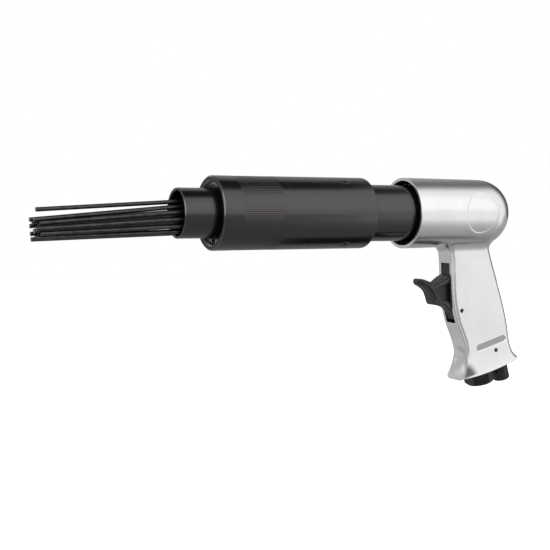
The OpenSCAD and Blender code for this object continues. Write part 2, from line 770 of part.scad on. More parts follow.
module valve_disc() color("lightgray")
    ring_about(valve_port_r / 2, disc_r, disc_x, disc_x + disc_t, seat_gap);

module valve_cover() color("goldenrod") difference() {
    ports = 6;
    bar(stack_r, case_x1, chest_x1);
    for (k = [0 : ports - 1]) rotate([(2 * k + 1) * turn / ports / 2, 0, 0])
        translate([0, 0, disc_r * cover_port_share]) bar(dowel_r, case_x1 - over, chest_x1 + over);
    dowel_hole(case_x1, chest_x1);
}

module valve_dowel() color("lightgray") translate([0, 0, dowel_at_r])
    bar(dowel_r, cyl_x1 - dowel_sunk, chest_x1);

// a place in the trigger's outline as points of the grip's frame
function trigger_point(s) = [-pivot_front - s[0] * trigger_reach, -trigger_top - s[1] * trigger_h];

// the guide strip that fills the slot, from its top corner round its back to the outline
function trigger_strip() = [
    trigger_point([strip_foot_share, 1]), trigger_point([-trigger_back / trigger_reach, 1]),
    trigger_point([-trigger_back / trigger_reach, strip_neck_share]),
    for (s = strip_top_shares) trigger_point([s, 0])
];

module trigger() color("#2b2b2d") in_grip() difference() {
    intersection() {
        rotate([quarter, 0, 0]) linear_extrude(height = trigger_w, center = true)
            polygon(concat(
                smooth_run([for (s = trigger_shares) trigger_point(s)], run_steps), trigger_strip()
            ));
        translate([0, 0, -trigger_top - trigger_h - over]) linear_extrude(height = trigger_h + 2 * over)
            polygon([for (m = [-1, 1]) each [
                for (k = [0 : len(plan_shares) - 1])
                    let (s = plan_shares[m > 0 ? k : len(plan_shares) - 1 - k])
                        [-pivot_front - s[0] * trigger_reach, m * s[1] * trigger_w / 2]
            ]]);
    }
    side_bar(pin_r + run_gap, slot_w, -pivot_front, pivot_down);
    for (m = [0, 1]) mirror([0, m, 0]) translate([0, pocket_depth - trigger_w / 2, 0])
        rotate([quarter, 0, 0]) linear_extrude(height = trigger_w)
            polygon([for (s = pocket_shares) trigger_point(s)]);
}

// a slit spring-steel tube across the grip
module roll_pin(v, u) color("dimgray") in_grip() difference() {
    side_bar(pin_r, pin_len, v, u);
    side_bar(pin_r - pin_wall, pin_len + over, v, u);
    translate([v, 0, -u]) rotate([quarter, 0, 0]) translate([0, -pin_slit / 2, -pin_len])
        cube([pin_d, pin_slit, 2 * pin_len]);
}

module throttle_bushing() color("goldenrod") in_grip() difference() {
    back_bar(throttle_r - fit_gap, -slot_floor, bushing_len - slot_floor, throttle_down);
    back_bar(stem_r + run_gap, -slot_floor - over, over, throttle_down);
    back_bar(gallery_r, -gallery_len, over, throttle_down);
    translate([-gallery_len / 2, 0, -throttle_down]) cylinder(r = stem_r, h = throttle_d, center = true);
}

module throttle_stem() color("lightgray") in_grip() {
    back_bar(stem_r, stem_r - stem_tip, seal_t + stem_head_t, throttle_down);
    translate([stem_r - stem_tip, 0, -throttle_down]) sphere(r = stem_r);
    back_bar(stem_head_r, seal_t, seal_t + stem_head_t, throttle_down);
}

module throttle_seal() color("black") in_grip() difference() {
    back_bar(stem_head_r, fit_gap, seal_t, throttle_down);
    back_bar(stem_r, -over, seal_t + over, throttle_down);
}

module throttle_spring() color("lightgray") in_grip()
    translate([seal_t + stem_head_t + fit_gap, 0, -throttle_down]) rotate([0, quarter, 0])
        coil(
            throttle_spring_r, throttle_wire,
            throttle_deep - seal_t - stem_head_t - 2 * fit_gap, throttle_turns
        );

module inlet_bushing() color("#252527") in_grip() translate([-inlet_front, 0, 0]) difference() {
    union() {
        intersection() {
            translate([0, 0, -inlet_end]) rotate(turn / 12)
                cylinder(r = hex_corner_r, h = inlet_hex_h, $fn = 6);
            translate([0, 0, -inlet_end]) rotate_extrude() polygon([
                [0, 0], [inlet_hex / 2 - edge, 0], [hex_corner_r, hex_bevel + edge],
                [hex_corner_r, inlet_hex_h], [0, inlet_hex_h]
            ]);
        }
        down_bar(inlet_r, 0, inlet_top, inlet_hex_u + edge);
    }
    down_bar(hose_d / 2, 0, inlet_end - hose_deep, inlet_end + over);
    down_bar(hose_d / 2 - inlet_shoulder, 0, inlet_top - over, inlet_end);
}

module inlet_seal() color("black") in_grip() difference() {
    down_bar(inlet_hex / 2 - edge, -inlet_front, grip_len, inlet_hex_u);
    down_bar(inlet_r + fit_gap, -inlet_front, grip_len - over, inlet_hex_u + over);
}

module inlet_screen() color("lightgray") in_grip() difference() {
    down_bar(inlet_r, -inlet_front, inlet_top - screen_t, inlet_top);
    for (c = [0 : screen_circles]) for (k = [0 : max(0, 6 * c - 1)])
        translate([-inlet_front, 0, 0]) rotate(k * turn / max(1, 6 * c))
            down_bar(screen_hole_r, c * 3 * screen_hole_r, inlet_top - screen_t - over, inlet_top + over);
}

module regulator() color("#2a2624") in_grip() translate([regulator_back, 0, 0]) difference() {
    translate([0, 0, -regulator_end]) rotate_extrude() {
        pin_z = regulator_end - regulator_pin_down;
        ring_z = regulator_end - grip_len + o_ring_at;
        groove_w = pin_d + 4 * run_gap;
        polygon(concat(
            [[0, 0], [knob_r - knob_round, 0]],
            arc(knob_r - knob_round, knob_round, knob_round, -quarter, 0, knob_steps),
            [[knob_r, knob_out - edge], [regulator_r, knob_out]],
            [[regulator_r, ring_z - o_ring_r], [regulator_r - 2 * o_ring_r, ring_z - o_ring_r]],
            [[regulator_r - 2 * o_ring_r, ring_z + o_ring_r], [regulator_r, ring_z + o_ring_r]],
            [[regulator_r, pin_z - groove_w / 2], [pin_groove_r, pin_z - groove_w / 2]],
            [[pin_groove_r, pin_z + groove_w / 2], [regulator_r, pin_z + groove_w / 2]],
            [[regulator_r, regulator_end - regulator_top], [0, regulator_end - regulator_top]]
        ));
    }
    down_bar(passage_r, 0, regulator_top - over, regulator_top + window_deep - passage_r);
    back_bar(passage_r, -regulator_d, 0, cross_down);
    for (k = [0 : knob_flutes - 1]) rotate(k * turn / knob_flutes)
        down_bar(flute_r, knob_r + flute_r / 2, grip_len + over, regulator_end + over);
}

module regulator_seal() color("black") in_grip()
    translate([regulator_back, 0, o_ring_at - grip_len]) rotate_extrude()
        translate([regulator_r - o_ring_r, 0]) circle(r = o_ring_r);

module needle(i) {
    n = needle_back(i);
    color("gray") translate(needle_head(i)) rotate([0, acos(n[2]), atan2(n[1], n[0])]) {
        cylinder(d = needle_pitch - needle_head_gap, h = needle_head_t);
        translate([0, 0, needle_head_t - needle_len])
            cylinder(d = needle_d, h = needle_len - needle_head_t);
    }
}

handle();
cylinder_part();  // cylinder
sleeve();
set_screws();
front_tube();
needle_holder();
retaining_ring();
guide_ring();
return_spring();
anvil();
buffer_ring();
piston();
valve_case();
valve_disc();
valve_cover();
valve_dowel();
trigger();
roll_pin(-pivot_front, pivot_down);  // trigger_pin
throttle_bushing();
throttle_stem();
throttle_seal();
throttle_spring();
inlet_bushing();
inlet_seal();
inlet_screen();
regulator();
regulator_seal();
roll_pin(regulator_pin_back, regulator_pin_down);  // regulator_pin
for (i = [1 : needle_count]) needle(i);
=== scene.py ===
"""Looks of a pneumatic needle scaler: casting, moulding, springs, materials and light."""
import json
import math

import bpy
import numpy as np
import openvdb
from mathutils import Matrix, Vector


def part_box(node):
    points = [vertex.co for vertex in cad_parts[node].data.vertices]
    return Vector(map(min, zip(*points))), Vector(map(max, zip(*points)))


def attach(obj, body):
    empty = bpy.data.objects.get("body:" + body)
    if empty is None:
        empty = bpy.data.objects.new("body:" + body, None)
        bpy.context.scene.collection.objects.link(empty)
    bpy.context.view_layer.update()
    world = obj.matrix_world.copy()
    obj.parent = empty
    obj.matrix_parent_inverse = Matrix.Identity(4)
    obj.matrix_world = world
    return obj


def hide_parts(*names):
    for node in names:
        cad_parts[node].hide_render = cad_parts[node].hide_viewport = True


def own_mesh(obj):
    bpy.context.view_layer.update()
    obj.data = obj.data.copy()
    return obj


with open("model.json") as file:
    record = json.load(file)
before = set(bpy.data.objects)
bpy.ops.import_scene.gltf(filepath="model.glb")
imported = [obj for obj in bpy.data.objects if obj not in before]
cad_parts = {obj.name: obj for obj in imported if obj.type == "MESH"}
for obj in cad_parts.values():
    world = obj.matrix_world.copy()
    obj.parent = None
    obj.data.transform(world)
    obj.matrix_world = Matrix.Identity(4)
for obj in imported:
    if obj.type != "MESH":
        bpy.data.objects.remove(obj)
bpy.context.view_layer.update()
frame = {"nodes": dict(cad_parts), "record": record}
nodes = frame["nodes"]

# Lengths of the object are in millimetres and become metres with MM.
MM = 0.001

# Barrel of the handle, along X
MOUTH_X = 164.0  # front face
MOUTH_R = 25.25
MOUTH_EDGE_R = 0.5
BORE_EDGE_R = 0.4
BOSS_X = 204.0  # floor of the mouth
CHEST_X = 242.8  # floor of the valve chest
CHEST_R = 17.05
BARREL_R = 27.75
BARREL_REAR_R = 27.0
DOME_X = 236.4
DOME_R = 25.0
DOME_FLAT = 2.0  # flat middle of the dome

# Grip, in its own frame: v to the back, y across, u down along the grip
GRIP_X = 217.6
GRIP_TILT = math.radians(15)
TILT_COS = math.cos(GRIP_TILT)
TILT_SIN = math.sin(GRIP_TILT)
GRIP_BACK = (TILT_COS, 0, TILT_SIN)
GRIP_DOWN = (TILT_SIN, 0, -TILT_COS)
GRIP_LEN = 129.6
GRIP_TOP = 8.0
GRIP_FRONT = 25.5
GRIP_REAR = 21.75
GRIP_SHARES = [0.12, 0.19, 0.265, 0.36, 0.51, 0.64, 0.78, 0.88, 1]
FRONT_SHARES = [0.765, 0.785, 0.83, 0.935, 1.08, 1.09, 0.99, 0.975, 0.98]
REAR_SHARES = [0.925, 0.925, 0.925, 0.95, 1.015, 1.06, 1.06, 1, 0.945]
PANEL_HALF = 10.125
PANEL_EDGE_R = 0.5
STRIP_HALF = 8.9
STRIP_EDGE_R = 1.4
STEP_BACK = 2.5  # of the side panels behind the front strip
STEP_FILLET = 0.35
BACK_R = 8.0
BLEND_R = 6.0  # fillet between barrel and grip

# Foot of the grip: its flare, the scoop in its front, its toe and its bowed lower edge
FOOT_END_SHARE = 1.02  # outlines are followed this far
FLARE_SHARE = 0.8  # where the flare begins
FLARE_POWER = 2.5
FLARE_FRONT = 9.7
FLARE_REAR = 4.8
FLARE_SIDE = 2.4
HEEL_POWER = 6
SCOOP = 3.0
TOE_FORWARD = 2.0  # of the side panels at the toe
TOE_RISE = 1.6  # how soon they come forward
LIP = 2.2  # bow of the lower edge along the sides
LIP_AT = (10.6, 11.3)  # from where to where in y
FRONT_LIP = 1.5  # bow of the lower edge across the front
FRONT_LIP_BACK = 6.0
FRONT_LIP_POWER = 4
FOOT_EDGE_R = 0.5

# Painted shade in the sides, a dark reflection painted into the colour, round a place in v and u at the
# foot's front corners
SHADE_AT = (-34.2, 129.6)
SHADE_REACH = 15.5
SHADE_FULL = 0.45  # share of the reach in which the tone grows
SHADE_SKIN = 0.8  # outside the strip's sides
SHADE_EDGE = 1.2  # fade at the lower edge

# Slot, bores and sunk fields of the handle, with places in v and u
SLOT_HALF = 5.7
SLOT_TOP = 36.0
SLOT_END = 84.6
SLOT_FLOOR = -12.0  # in v
SLOT_CORNER_R = 0.6
SLOT_EDGE_R = 0.5
PIVOT = (-21.8, 75.5)
REGULATOR_PIN = (3.02, 117.2)
PIN_R = 1.5
PIN_GAP = 0.1
PIN_EDGE_R = 0.3
THROTTLE_U = 58.0
THROTTLE_R = 6.0
THROTTLE_END = 16.5  # in v
INLET_V = -11.3
INLET_R = 7.55
INLET_TOP = 110.2
REGULATOR_V = 10.2
REGULATOR_R = 7.28
REGULATOR_TOP = 99.0
FIELD_DEPTH = 0.5
FIELD_WALL = 1.1  # width of a sunk field's wall
BADGE_X = 223.4
BADGE_R = 15.5
LABEL = (-0.2, 110.2)
LABEL_HALF = 12.5
LABEL_R = 2.5
LABEL_FADE = 0.6

# Trigger: its outline in shares of its reach before the pivot, and of its height from the top
TRIGGER_TOP = 36.3
TRIGGER_H = 46.0
TRIGGER_REACH = 31.5
TRIGGER_HALF = 5.4
TRIGGER_EDGE_R = 0.9
TRIGGER_PIN_GAP = 0.2
TRIGGER_SHARES = [
    (0.03, 0.175), (0.21, 0.195), (0.42, 0.24), (0.525, 0.26), (0.605, 0.215), (0.73, 0.15),
    (0.875, 0.095), (0.96, 0.1), (1, 0.135), (0.97, 0.185), (0.86, 0.25), (0.75, 0.34),
    (0.71, 0.455), (0.7, 0.55), (0.66, 0.61), (0.51, 0.655), (0.385, 0.7), (0.29, 0.755),
    (0.215, 0.825), (0.16, 0.9),
]
RUN_STEPS = 6  # between two places of the outline
STRIP_SHARES = [(0.115, 1), (-0.089, 1), (-0.089, 0.3), (-0.125, 0), (-0.075, 0)]
PLAN_SHARES = [(-0.4, 1), (0.3, 1), (0.62, 0.98), (0.82, 0.9), (0.94, 0.76), (1.02, 0.5)]
POCKET_SHARES = [(0.06, 0.34), (0.43, 0.36), (0.47, 0.45), (0.43, 0.53), (0.3, 0.6), (0.06, 0.7)]
POCKET_DEPTH = 2.4
POCKET_R = 1.2
POCKET_EDGE_R = 0.4
ARM_SHARES = [
    [(0.95, 0.145), (0.82, 0.225), (0.71, 0.3), (0.645, 0.4), (0.62, 0.52)],
    [(0.6, 0.285), (0.35, 0.265), (0.1, 0.24)],
    [(0.43, 0.635), (0.32, 0.7), (0.21, 0.81)],
]
GROOVE_HALF = 0.7
GROOVE_DEPTH = 0.9
GROOVE_EDGE_R = 0.3
HIGHLIGHT_RIDGE_OFFSET = 1.1  # of a ridge with a painted highlight from its groove
HIGHLIGHT_RIDGE_HALF = 0.7
HIGHLIGHT_RIDGE_SKIN = 1.0

# Meshes of the casting and the moulding, made from distance fields
HANDLE_VOXEL = 0.5
TRIGGER_VOXEL = 0.3
BAND_VOXELS = 3
SURFACE_STEPS = 3
SLOPE_STEP = 0.04
LEAST_SLOPE = 0.25

# Sleeve, along X
SLEEVE_R = 27.0
SLEEVE_LEN = 126.0
SLEEVE_BORE_R = 22.5
SLEEVE_CHAMFER = 1.2
SLEEVE_EDGE = 0.6
SLEEVE_REAR_R = 2.2
NECK_BORE_R = 21.85
CYLINDER_X = 85.65  # front of the cylinder, where the bore narrows
RING_GROOVE = (3.0, 4.85, 23.6)  # start, end and radius
KNURL_X = 16.0
KNURL_LEN = 32.0
KNURL_RIDGES = 110
KNURL_DEPTH = 0.1
KNURL_SUNK = 0.1
KNURL_END = 0.25
RIDGE_STEPS = 8
CORNER_R = 0.3
CORNER_STEPS = 6
ROWS_AHEAD = 5
ROWS_BEHIND = 10
ROW_MARGIN = 2.0
KNURL_MARGIN = 1.0
SHARP_ANGLE = math.radians(30)
SCREW_X = 104.41
SCREW_R = 3.05
SCREW_COUNT = 3
SCREW_TURN = 0.25  # share of a turn to the first screw
SCREW_SINK = 0.5
DRILL_MARGIN = 2.0
DRILL_SIDES = 48

# Springs and rubber rings
SPRING_WIRE = 2.6
SPRING_TURNS = 8
THROTTLE_WIRE = 0.8
THROTTLE_TURNS = 6
THROTTLE_SPRING_R = 3.7
THROTTLE_SPRING_V = 3.95
THROTTLE_SPRING_LEN = 12.5
COIL_EASE = 0.25  # how much closer the turns lie at the ends
WIRE_SIDES = 14
TURN_STEPS = 48
BUFFER_BORE_R = 9.8
BUFFER_EDGE_R = 1.2
INLET_SEAL_R = 10.4
INLET_SEAL_T = 1.2
INLET_SEAL_EDGE_R = 0.4
O_RING_R = 7.2
O_RING_WIRE = 1.8
O_RING_UP = 5.2  # above the foot
THROTTLE_STEM_R = 2.5
THROTTLE_SEAL_R = 4.9
THROTTLE_SEAL_V = 0.05
THROTTLE_SEAL_T = 1.45
THROTTLE_SEAL_EDGE_R = 0.3
RING_SIDES = 96
RING_EDGE_STEPS = 5


# Curves, distance fields and frames


def ease(t):
    """From 0 to 1 with soft ends."""
    return t * t * (3 - 2 * t)


def angles(count):
    """Angles of places spread evenly round a circle."""
    return 2 * math.pi * np.arange(count) / count


def curve_at(keys, values, t):
    """Cubic through given places and values, with the slope at each place from its neighbours."""
    keys = np.asarray(keys, float)
    values = np.asarray(values, float)
    before = np.r_[0, np.arange(len(keys) - 1)]
    after = np.r_[np.arange(1, len(keys)), len(keys) - 1]
    slope = (values[after] - values[before]) / (keys[after] - keys[before])
    i = np.clip(np.searchsorted(keys, t) - 1, 0, len(keys) - 2)
    h = keys[i + 1] - keys[i]
    s = (t - keys[i]) / h
    a = values[i] * (1 + 2 * s) * (1 - s) ** 2 + slope[i] * h * s * (1 - s) ** 2
    return a + values[i + 1] * s * s * (3 - 2 * s) - slope[i + 1] * h * s * s * (1 - s)


def join(a, b, r):
    """Union of two distance fields with a fillet of radius r."""
    return np.maximum(r, np.minimum(a, b)) - np.hypot(np.maximum(r - a, 0), np.maximum(r - b, 0))


def common(a, b, r):
    """Intersection of two distance fields with an edge of radius r."""
    return np.minimum(-r, np.maximum(a, b)) + np.hypot(np.maximum(r + a, 0), np.maximum(r + b, 0))


def cut(a, b, r):
    """Field a without field b, with an edge of radius r."""
    return common(a, -b, r)


def rounded_box(p, q, half_p, half_q, r):
    """Distance to a rectangle with corner radius r, from its middle."""
    dp = np.abs(p) - half_p + r
    dq = np.abs(q) - half_q + r
    return np.minimum(np.maximum(dp, dq), 0) + np.hypot(np.maximum(dp, 0), np.maximum(dq, 0)) - r


def rod(a, b, r):
    """Endless round bar through the middle of two crosswise places."""
    return np.hypot(a, b) - r


def grip_frame(x, z):
    """Places v (back) and u (down) in the leaning grip of places along X and Z."""
    dx = x - GRIP_X
    return dx * TILT_COS + z * TILT_SIN, dx * TILT_SIN - z * TILT_COS


def grip_place(v, u):
    """Place in the object's frame, in millimetres, of a place in the grip."""
    return GRIP_X + u * TILT_SIN + v * TILT_COS, 0, -u * TILT_COS + v * TILT_SIN


def in_mm(box):
    """Corners of a box in millimetres."""
    return [np.array(corner) / MM for corner in box]


# Pieces from points


def new_piece(name, points, faces):
    """A piece in the scene, from points in metres and faces."""
    mesh = bpy.data.meshes.new(name)
    mesh.from_pydata(points, [], faces)
    mesh.update()
    piece = bpy.data.objects.new(name, mesh)
    bpy.context.scene.collection.objects.link(piece)
    return piece


def finish_piece(piece, body, node, slot):
    """Lets a piece ride on a body in place of a node, with a slot's material."""
    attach(piece, body)
    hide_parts(node)
    piece.data.materials.append(MATERIALS[slot])


def vertex_places(piece):
    """Rows of x, y and z of a piece's points, in millimetres."""
    points = np.empty(3 * len(piece.data.vertices))
    piece.data.vertices.foreach_get("co", points)
    return points.reshape(-1, 3).T / MM


def set_tone(piece, name, values):
    """Keeps a value for each point of a piece, which its material reads."""
    piece.data.attributes.new(name, "FLOAT", "POINT").data.foreach_set("value", values)


def gradient(field, p):
    """Slope of a field at points."""
    g = np.empty_like(p)
    for k in range(3):
        d = np.zeros(3)
        d[k] = SLOPE_STEP
        g[:, k] = (field(*(p + d).T) - field(*(p - d).T)) / (2 * SLOPE_STEP)
    return g


def field_mesh(name, field, box, voxel):
    """A mesh of a field's surface inside a box, its points set on the surface and shaded by its slope."""
    band = BAND_VOXELS * voxel
    lo = np.asarray(box[0]) - band
    hi = np.asarray(box[1]) + band
    counts = np.ceil((hi - lo) / voxel).astype(int) + 1
    axes = [lo[k] + voxel * np.arange(counts[k]) for k in range(3)]
    x = axes[0][:, None, None]
    y = axes[1][None, :, None]
    z = axes[2][None, None, :]
    values = np.broadcast_to(field(x, y, z), counts)
    grid = openvdb.FloatGrid(band)
    grid.copyFromArray(np.clip(values, -band, band).astype(np.float32))
    points, quads = grid.convertToQuads(isovalue=0.0)
    points = points.astype(float) * voxel + lo
    for _ in range(SURFACE_STEPS):
        g = gradient(field, points)
        pull = field(*points.T) / np.maximum((g * g).sum(1), LEAST_SLOPE)
        points -= np.clip(pull, -voxel, voxel)[:, None] * g
    piece = new_piece(name, (points * MM).tolist(), quads.tolist())
    normals = gradient(field, points)
    normals /= np.linalg.norm(normals, axis=1)[:, None]
    piece.data.shade_smooth()
    piece.data.normals_split_custom_set_from_vertices(normals.tolist())
    return piece


# Handle


def barrel_field(x, y, z):
    """Tapered barrel with its domed end."""
    rho = np.hypot(y, z)
    share = (x - MOUTH_X) / (DOME_X - MOUTH_X)
    side = rho - BARREL_R - (BARREL_REAR_R - BARREL_R) * share
    dome = np.hypot(np.maximum(rho - DOME_FLAT, 0), x - DOME_X) - DOME_R
    return np.where(x < DOME_X, side, dome)


def grip_share(u):
    """Share of the way down the grip, up to a little past its lower edge."""
    return np.clip(u / GRIP_LEN, 0, FOOT_END_SHARE)


def foot_share(u):
    """From 0 where the flare of the foot begins to 1 at its lower edge."""
    return np.clip((grip_share(u) - FLARE_SHARE) / (1 - FLARE_SHARE), 0, None)


def grip_field(v, y, u):
    """Grip with a raised front strip, flat side panels, a round back and a flared foot."""
    s = grip_share(u)
    toward_foot = foot_share(u)
    flare = toward_foot ** FLARE_POWER
    front = -GRIP_FRONT * curve_at(GRIP_SHARES, FRONT_SHARES, s) - flare * FLARE_FRONT
    heel = toward_foot ** HEEL_POWER * FLARE_REAR
    back = GRIP_REAR * curve_at(GRIP_SHARES, REAR_SHARES, s) + heel
    side = PANEL_HALF + flare * FLARE_SIDE
    strip = STRIP_HALF + flare * FLARE_SIDE
    hollow = np.sin(math.pi * np.minimum(toward_foot, 1)) ** 2
    scoop = SCOOP * hollow * np.clip(1 - (y / strip) ** 2, 0, 1)
    start = front + scoop + STEP_BACK - TOE_FORWARD * np.minimum(toward_foot * TOE_RISE, 1)
    mid = (start + back) / 2
    half = (back - start) / 2
    edge_r = np.where(v > mid, BACK_R, PANEL_EDGE_R)
    panel = rounded_box(v - mid, y, half, side, edge_r)
    depth = half / 2
    rib = rounded_box(v - front - scoop - depth, y, depth, strip, STRIP_EDGE_R)
    section = join(panel, rib, STEP_FILLET)
    at_rim = np.clip((np.abs(y) - LIP_AT[0]) / (LIP_AT[1] - LIP_AT[0]), 0, 1)
    lip = LIP * at_rim * np.clip(1 - ((v - mid) / half) ** 2, 0, 1)
    at_front = np.clip((start + FRONT_LIP_BACK - v) / FRONT_LIP_BACK, 0, 1)
    lip = lip + FRONT_LIP * at_front * np.clip(1 - (y / strip) ** FRONT_LIP_POWER, 0, 1)
    return common(section, np.maximum(u - GRIP_LEN - lip, GRIP_TOP - u), FOOT_EDGE_R)


def label_field(v, u):
    """Outline of the bare label slot in the grip's side."""
    return np.hypot(np.maximum(np.abs(v - LABEL[0]) - LABEL_HALF, 0), u - LABEL[1]) - LABEL_R


def sunk(outline):
    """Depth of a sunk field inside an outline, with a soft wall."""
    return FIELD_DEPTH * ease(np.clip(0.5 - outline / FIELD_WALL, 0, 1))


def handle_field(x, y, z):
    """The casting: barrel and grip joined by a fillet, less its bores, slot and sunk fields."""
    v, u = grip_frame(x, z)
    rho = np.hypot(y, z)
    mouth = MOUTH_X - x
    barrel = barrel_field(x, y, z) + sunk(np.maximum(rod(x - BADGE_X, z, BADGE_R), y))
    grip = grip_field(v, y, u) + sunk(np.maximum(label_field(v, u), y))
    body = join(common(barrel, mouth, MOUTH_EDGE_R), grip, BLEND_R)
    body = common(body, mouth, MOUTH_EDGE_R)
    body = cut(body, np.maximum(rho - MOUTH_R, x - BOSS_X), BORE_EDGE_R)
    body = np.maximum(body, -np.maximum(rho - CHEST_R, x - CHEST_X))
    slot_mid = (SLOT_TOP + SLOT_END) / 2
    slot = rounded_box(y, u - slot_mid, SLOT_HALF, (SLOT_END - SLOT_TOP) / 2, SLOT_CORNER_R)
    body = cut(body, np.maximum(slot, v - SLOT_FLOOR), SLOT_EDGE_R)
    body = np.maximum(body, -np.maximum(rod(y, u - THROTTLE_U, THROTTLE_R), v - THROTTLE_END))
    for pin_v, pin_u in (PIVOT, REGULATOR_PIN):
        body = cut(body, rod(v - pin_v, u - pin_u, PIN_R + PIN_GAP), PIN_EDGE_R)
    body = np.maximum(body, -np.maximum(rod(v - INLET_V, y, INLET_R), INLET_TOP - u))
    return np.maximum(body, -np.maximum(rod(v - REGULATOR_V, y, REGULATOR_R), REGULATOR_TOP - u))


def foot_painted_shade(v, u, y):
    """From 0 to 1 in the sides of the casting toward the foot's front corners, where shade is painted into
    the colour.
    """
    near = 1 - np.hypot(v - SHADE_AT[0], u - SHADE_AT[1]) / SHADE_REACH
    near = np.clip(near / SHADE_FULL, 0, 1)
    strip = STRIP_HALF + FLARE_SIDE * foot_share(u) ** FLARE_POWER
    on_side = np.clip((y - strip) / SHADE_SKIN, 0, 1) * np.clip((GRIP_LEN - u) / SHADE_EDGE, 0, 1)
    return ease(near) * on_side


def make_handle():
    """The casting, with the tone of its label slot and the painted shade of its foot's front corners."""
    piece = field_mesh("handle_casting", handle_field, in_mm(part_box("handle")), HANDLE_VOXEL)
    x, y, z = vertex_places(piece)
    v, u = grip_frame(x, z)
    in_label = np.clip(-label_field(v, u) / LABEL_FADE, 0, 1) * (y < 0)
    in_label *= np.abs(y) > PANEL_HALF - 2 * FIELD_DEPTH  # not in the bores behind it
    set_tone(piece, "label_slot", in_label)
    # painted shade at the foot's front corners
    set_tone(piece, "foot_painted_shade", foot_painted_shade(v, u, np.abs(y)))
    finish_piece(piece, "handle", "handle", "cast_aluminium")


# Trigger


def smooth_run(points, steps):
    """Curve through points, with steps between each two."""
    p = np.asarray(points, float)
    a, b, c, d = p[np.r_[0, 0:len(p) - 2]], p[:-1], p[1:], p[np.r_[2:len(p), len(p) - 1]]
    run = []
    for s in np.arange(steps) / steps:
        line = 2 * b + (c - a) * s + (2 * a - 5 * b + 4 * c - d) * s ** 2
        run.append((line + (3 * b - a - 3 * c + d) * s ** 3) / 2)
    return np.concatenate([np.stack(run, 1).reshape(-1, 2), p[-1:]])


def segment_field(a, b, p, q):
    """Distance to the straight line between two places."""
    ep, eq = b - a
    share = np.clip(((p - a[0]) * ep + (q - a[1]) * eq) / (ep * ep + eq * eq), 0, 1)
    return np.hypot(p - a[0] - share * ep, q - a[1] - share * eq)


def polygon_field(points, p, q):
    """Distance to a closed outline, negative inside it."""
    far = np.full(np.broadcast(p, q).shape, np.inf)
    inside = np.zeros(far.shape, bool)
    for a, b in zip(points, np.roll(points, -1, 0)):
        far = np.minimum(far, segment_field(a, b, p, q))
        ep, eq = b - a
        crosses = (a[1] > q) != (b[1] > q)
        level = np.where(crosses, a[0] + (q - a[1]) * ep / (eq if eq else 1), np.inf)
        inside ^= crosses & (p < level)
    return np.where(inside, -far, far)


def line_field(points, p, q):
    """Distance to a line of points."""
    far = np.full(np.broadcast(p, q).shape, np.inf)
    for a, b in zip(points[:-1], points[1:]):
        far = np.minimum(far, segment_field(a, b, p, q))
    return far


def trigger_places(shares):
    """Places v and u of shares of the trigger's reach and height."""
    shares = np.asarray(shares, float)
    v = PIVOT[0] - shares[:, 0] * TRIGGER_REACH
    return np.stack([v, TRIGGER_TOP + shares[:, 1] * TRIGGER_H], 1)


TRIGGER_FRONT = smooth_run(trigger_places(TRIGGER_SHARES), RUN_STEPS)
TRIGGER_OUTLINE = np.concatenate([TRIGGER_FRONT, trigger_places(STRIP_SHARES)])
POCKET_OUTLINE = trigger_places(POCKET_SHARES)
ARM_LINES = [trigger_places(shares) for shares in ARM_SHARES]


def trigger_field(x, y, z):
    """Moulded trigger with rounded edges, a hook that narrows to its tip, and a sunk field in each side."""
    v, u = grip_frame(x, z)
    plan = np.asarray(PLAN_SHARES)
    half = TRIGGER_HALF * np.interp((PIVOT[0] - v) / TRIGGER_REACH, plan[:, 0], plan[:, 1])
    body = common(polygon_field(TRIGGER_OUTLINE, v, u), np.abs(y) - half, TRIGGER_EDGE_R)
    pocket = polygon_field(POCKET_OUTLINE, v, u) - POCKET_R / 2
    body = cut(body, common(pocket, half - POCKET_DEPTH - np.abs(y), POCKET_R), POCKET_EDGE_R)
    for line in ARM_LINES:
        groove = np.maximum(line_field(line, v, u) - GROOVE_HALF, half - GROOVE_DEPTH - np.abs(y))
        body = cut(body, groove, GROOVE_EDGE_R)
    return cut(body, rod(v - PIVOT[0], u - PIVOT[1], PIN_R + TRIGGER_PIN_GAP), PIN_EDGE_R)


def make_trigger():
    """The moulding, with a painted highlight on the ridges beside the two grooves that run back."""
    piece = field_mesh("trigger_moulding", trigger_field, in_mm(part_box("trigger")), TRIGGER_VOXEL)
    x, y, z = vertex_places(piece)
    v, u = grip_frame(x, z)
    far = np.minimum(*(line_field(line, v, u) for line in ARM_LINES[1:]))
    # painted highlight along the ridges beside the grooves
    painted_ridge_highlight = np.clip(1 - np.abs(far - HIGHLIGHT_RIDGE_OFFSET) / HIGHLIGHT_RIDGE_HALF, 0, 1)
    painted_ridge_highlight *= np.clip((np.abs(y) - TRIGGER_HALF + HIGHLIGHT_RIDGE_SKIN) / HIGHLIGHT_RIDGE_SKIN, 0, 1)
    set_tone(piece, "painted_ridge_highlight", painted_ridge_highlight)
    finish_piece(piece, "trigger", "trigger", "trigger_plastic")


# Turned and wound pieces


def grid_mesh(name, points, closed_rows):
    """Smooth mesh over a grid of points, closed the short way round and, if asked, the long way too."""
    rows, sides = points.shape[:2]
    faces = []
    for i in range(rows if closed_rows else rows - 1):
        for k in range(sides):
            j, m = (i + 1) % rows, (k + 1) % sides
            faces.append((i * sides + k, i * sides + m, j * sides + m, j * sides + k))
    if not closed_rows:
        faces.append(tuple(range(sides))[::-1])
        faces.append(tuple((rows - 1) * sides + k for k in range(sides)))
    piece = new_piece(name, (points.reshape(-1, 3) * MM).tolist(), faces)
    piece.data.shade_smooth()
    return piece


def place_along(points, start, axis):
    """Points made round the Z axis from 0 up, moved to start with Z along axis."""
    turn = Vector((0, 0, 1)).rotation_difference(Vector(axis)).to_matrix()
    return points @ np.array(turn).T + np.asarray(start)


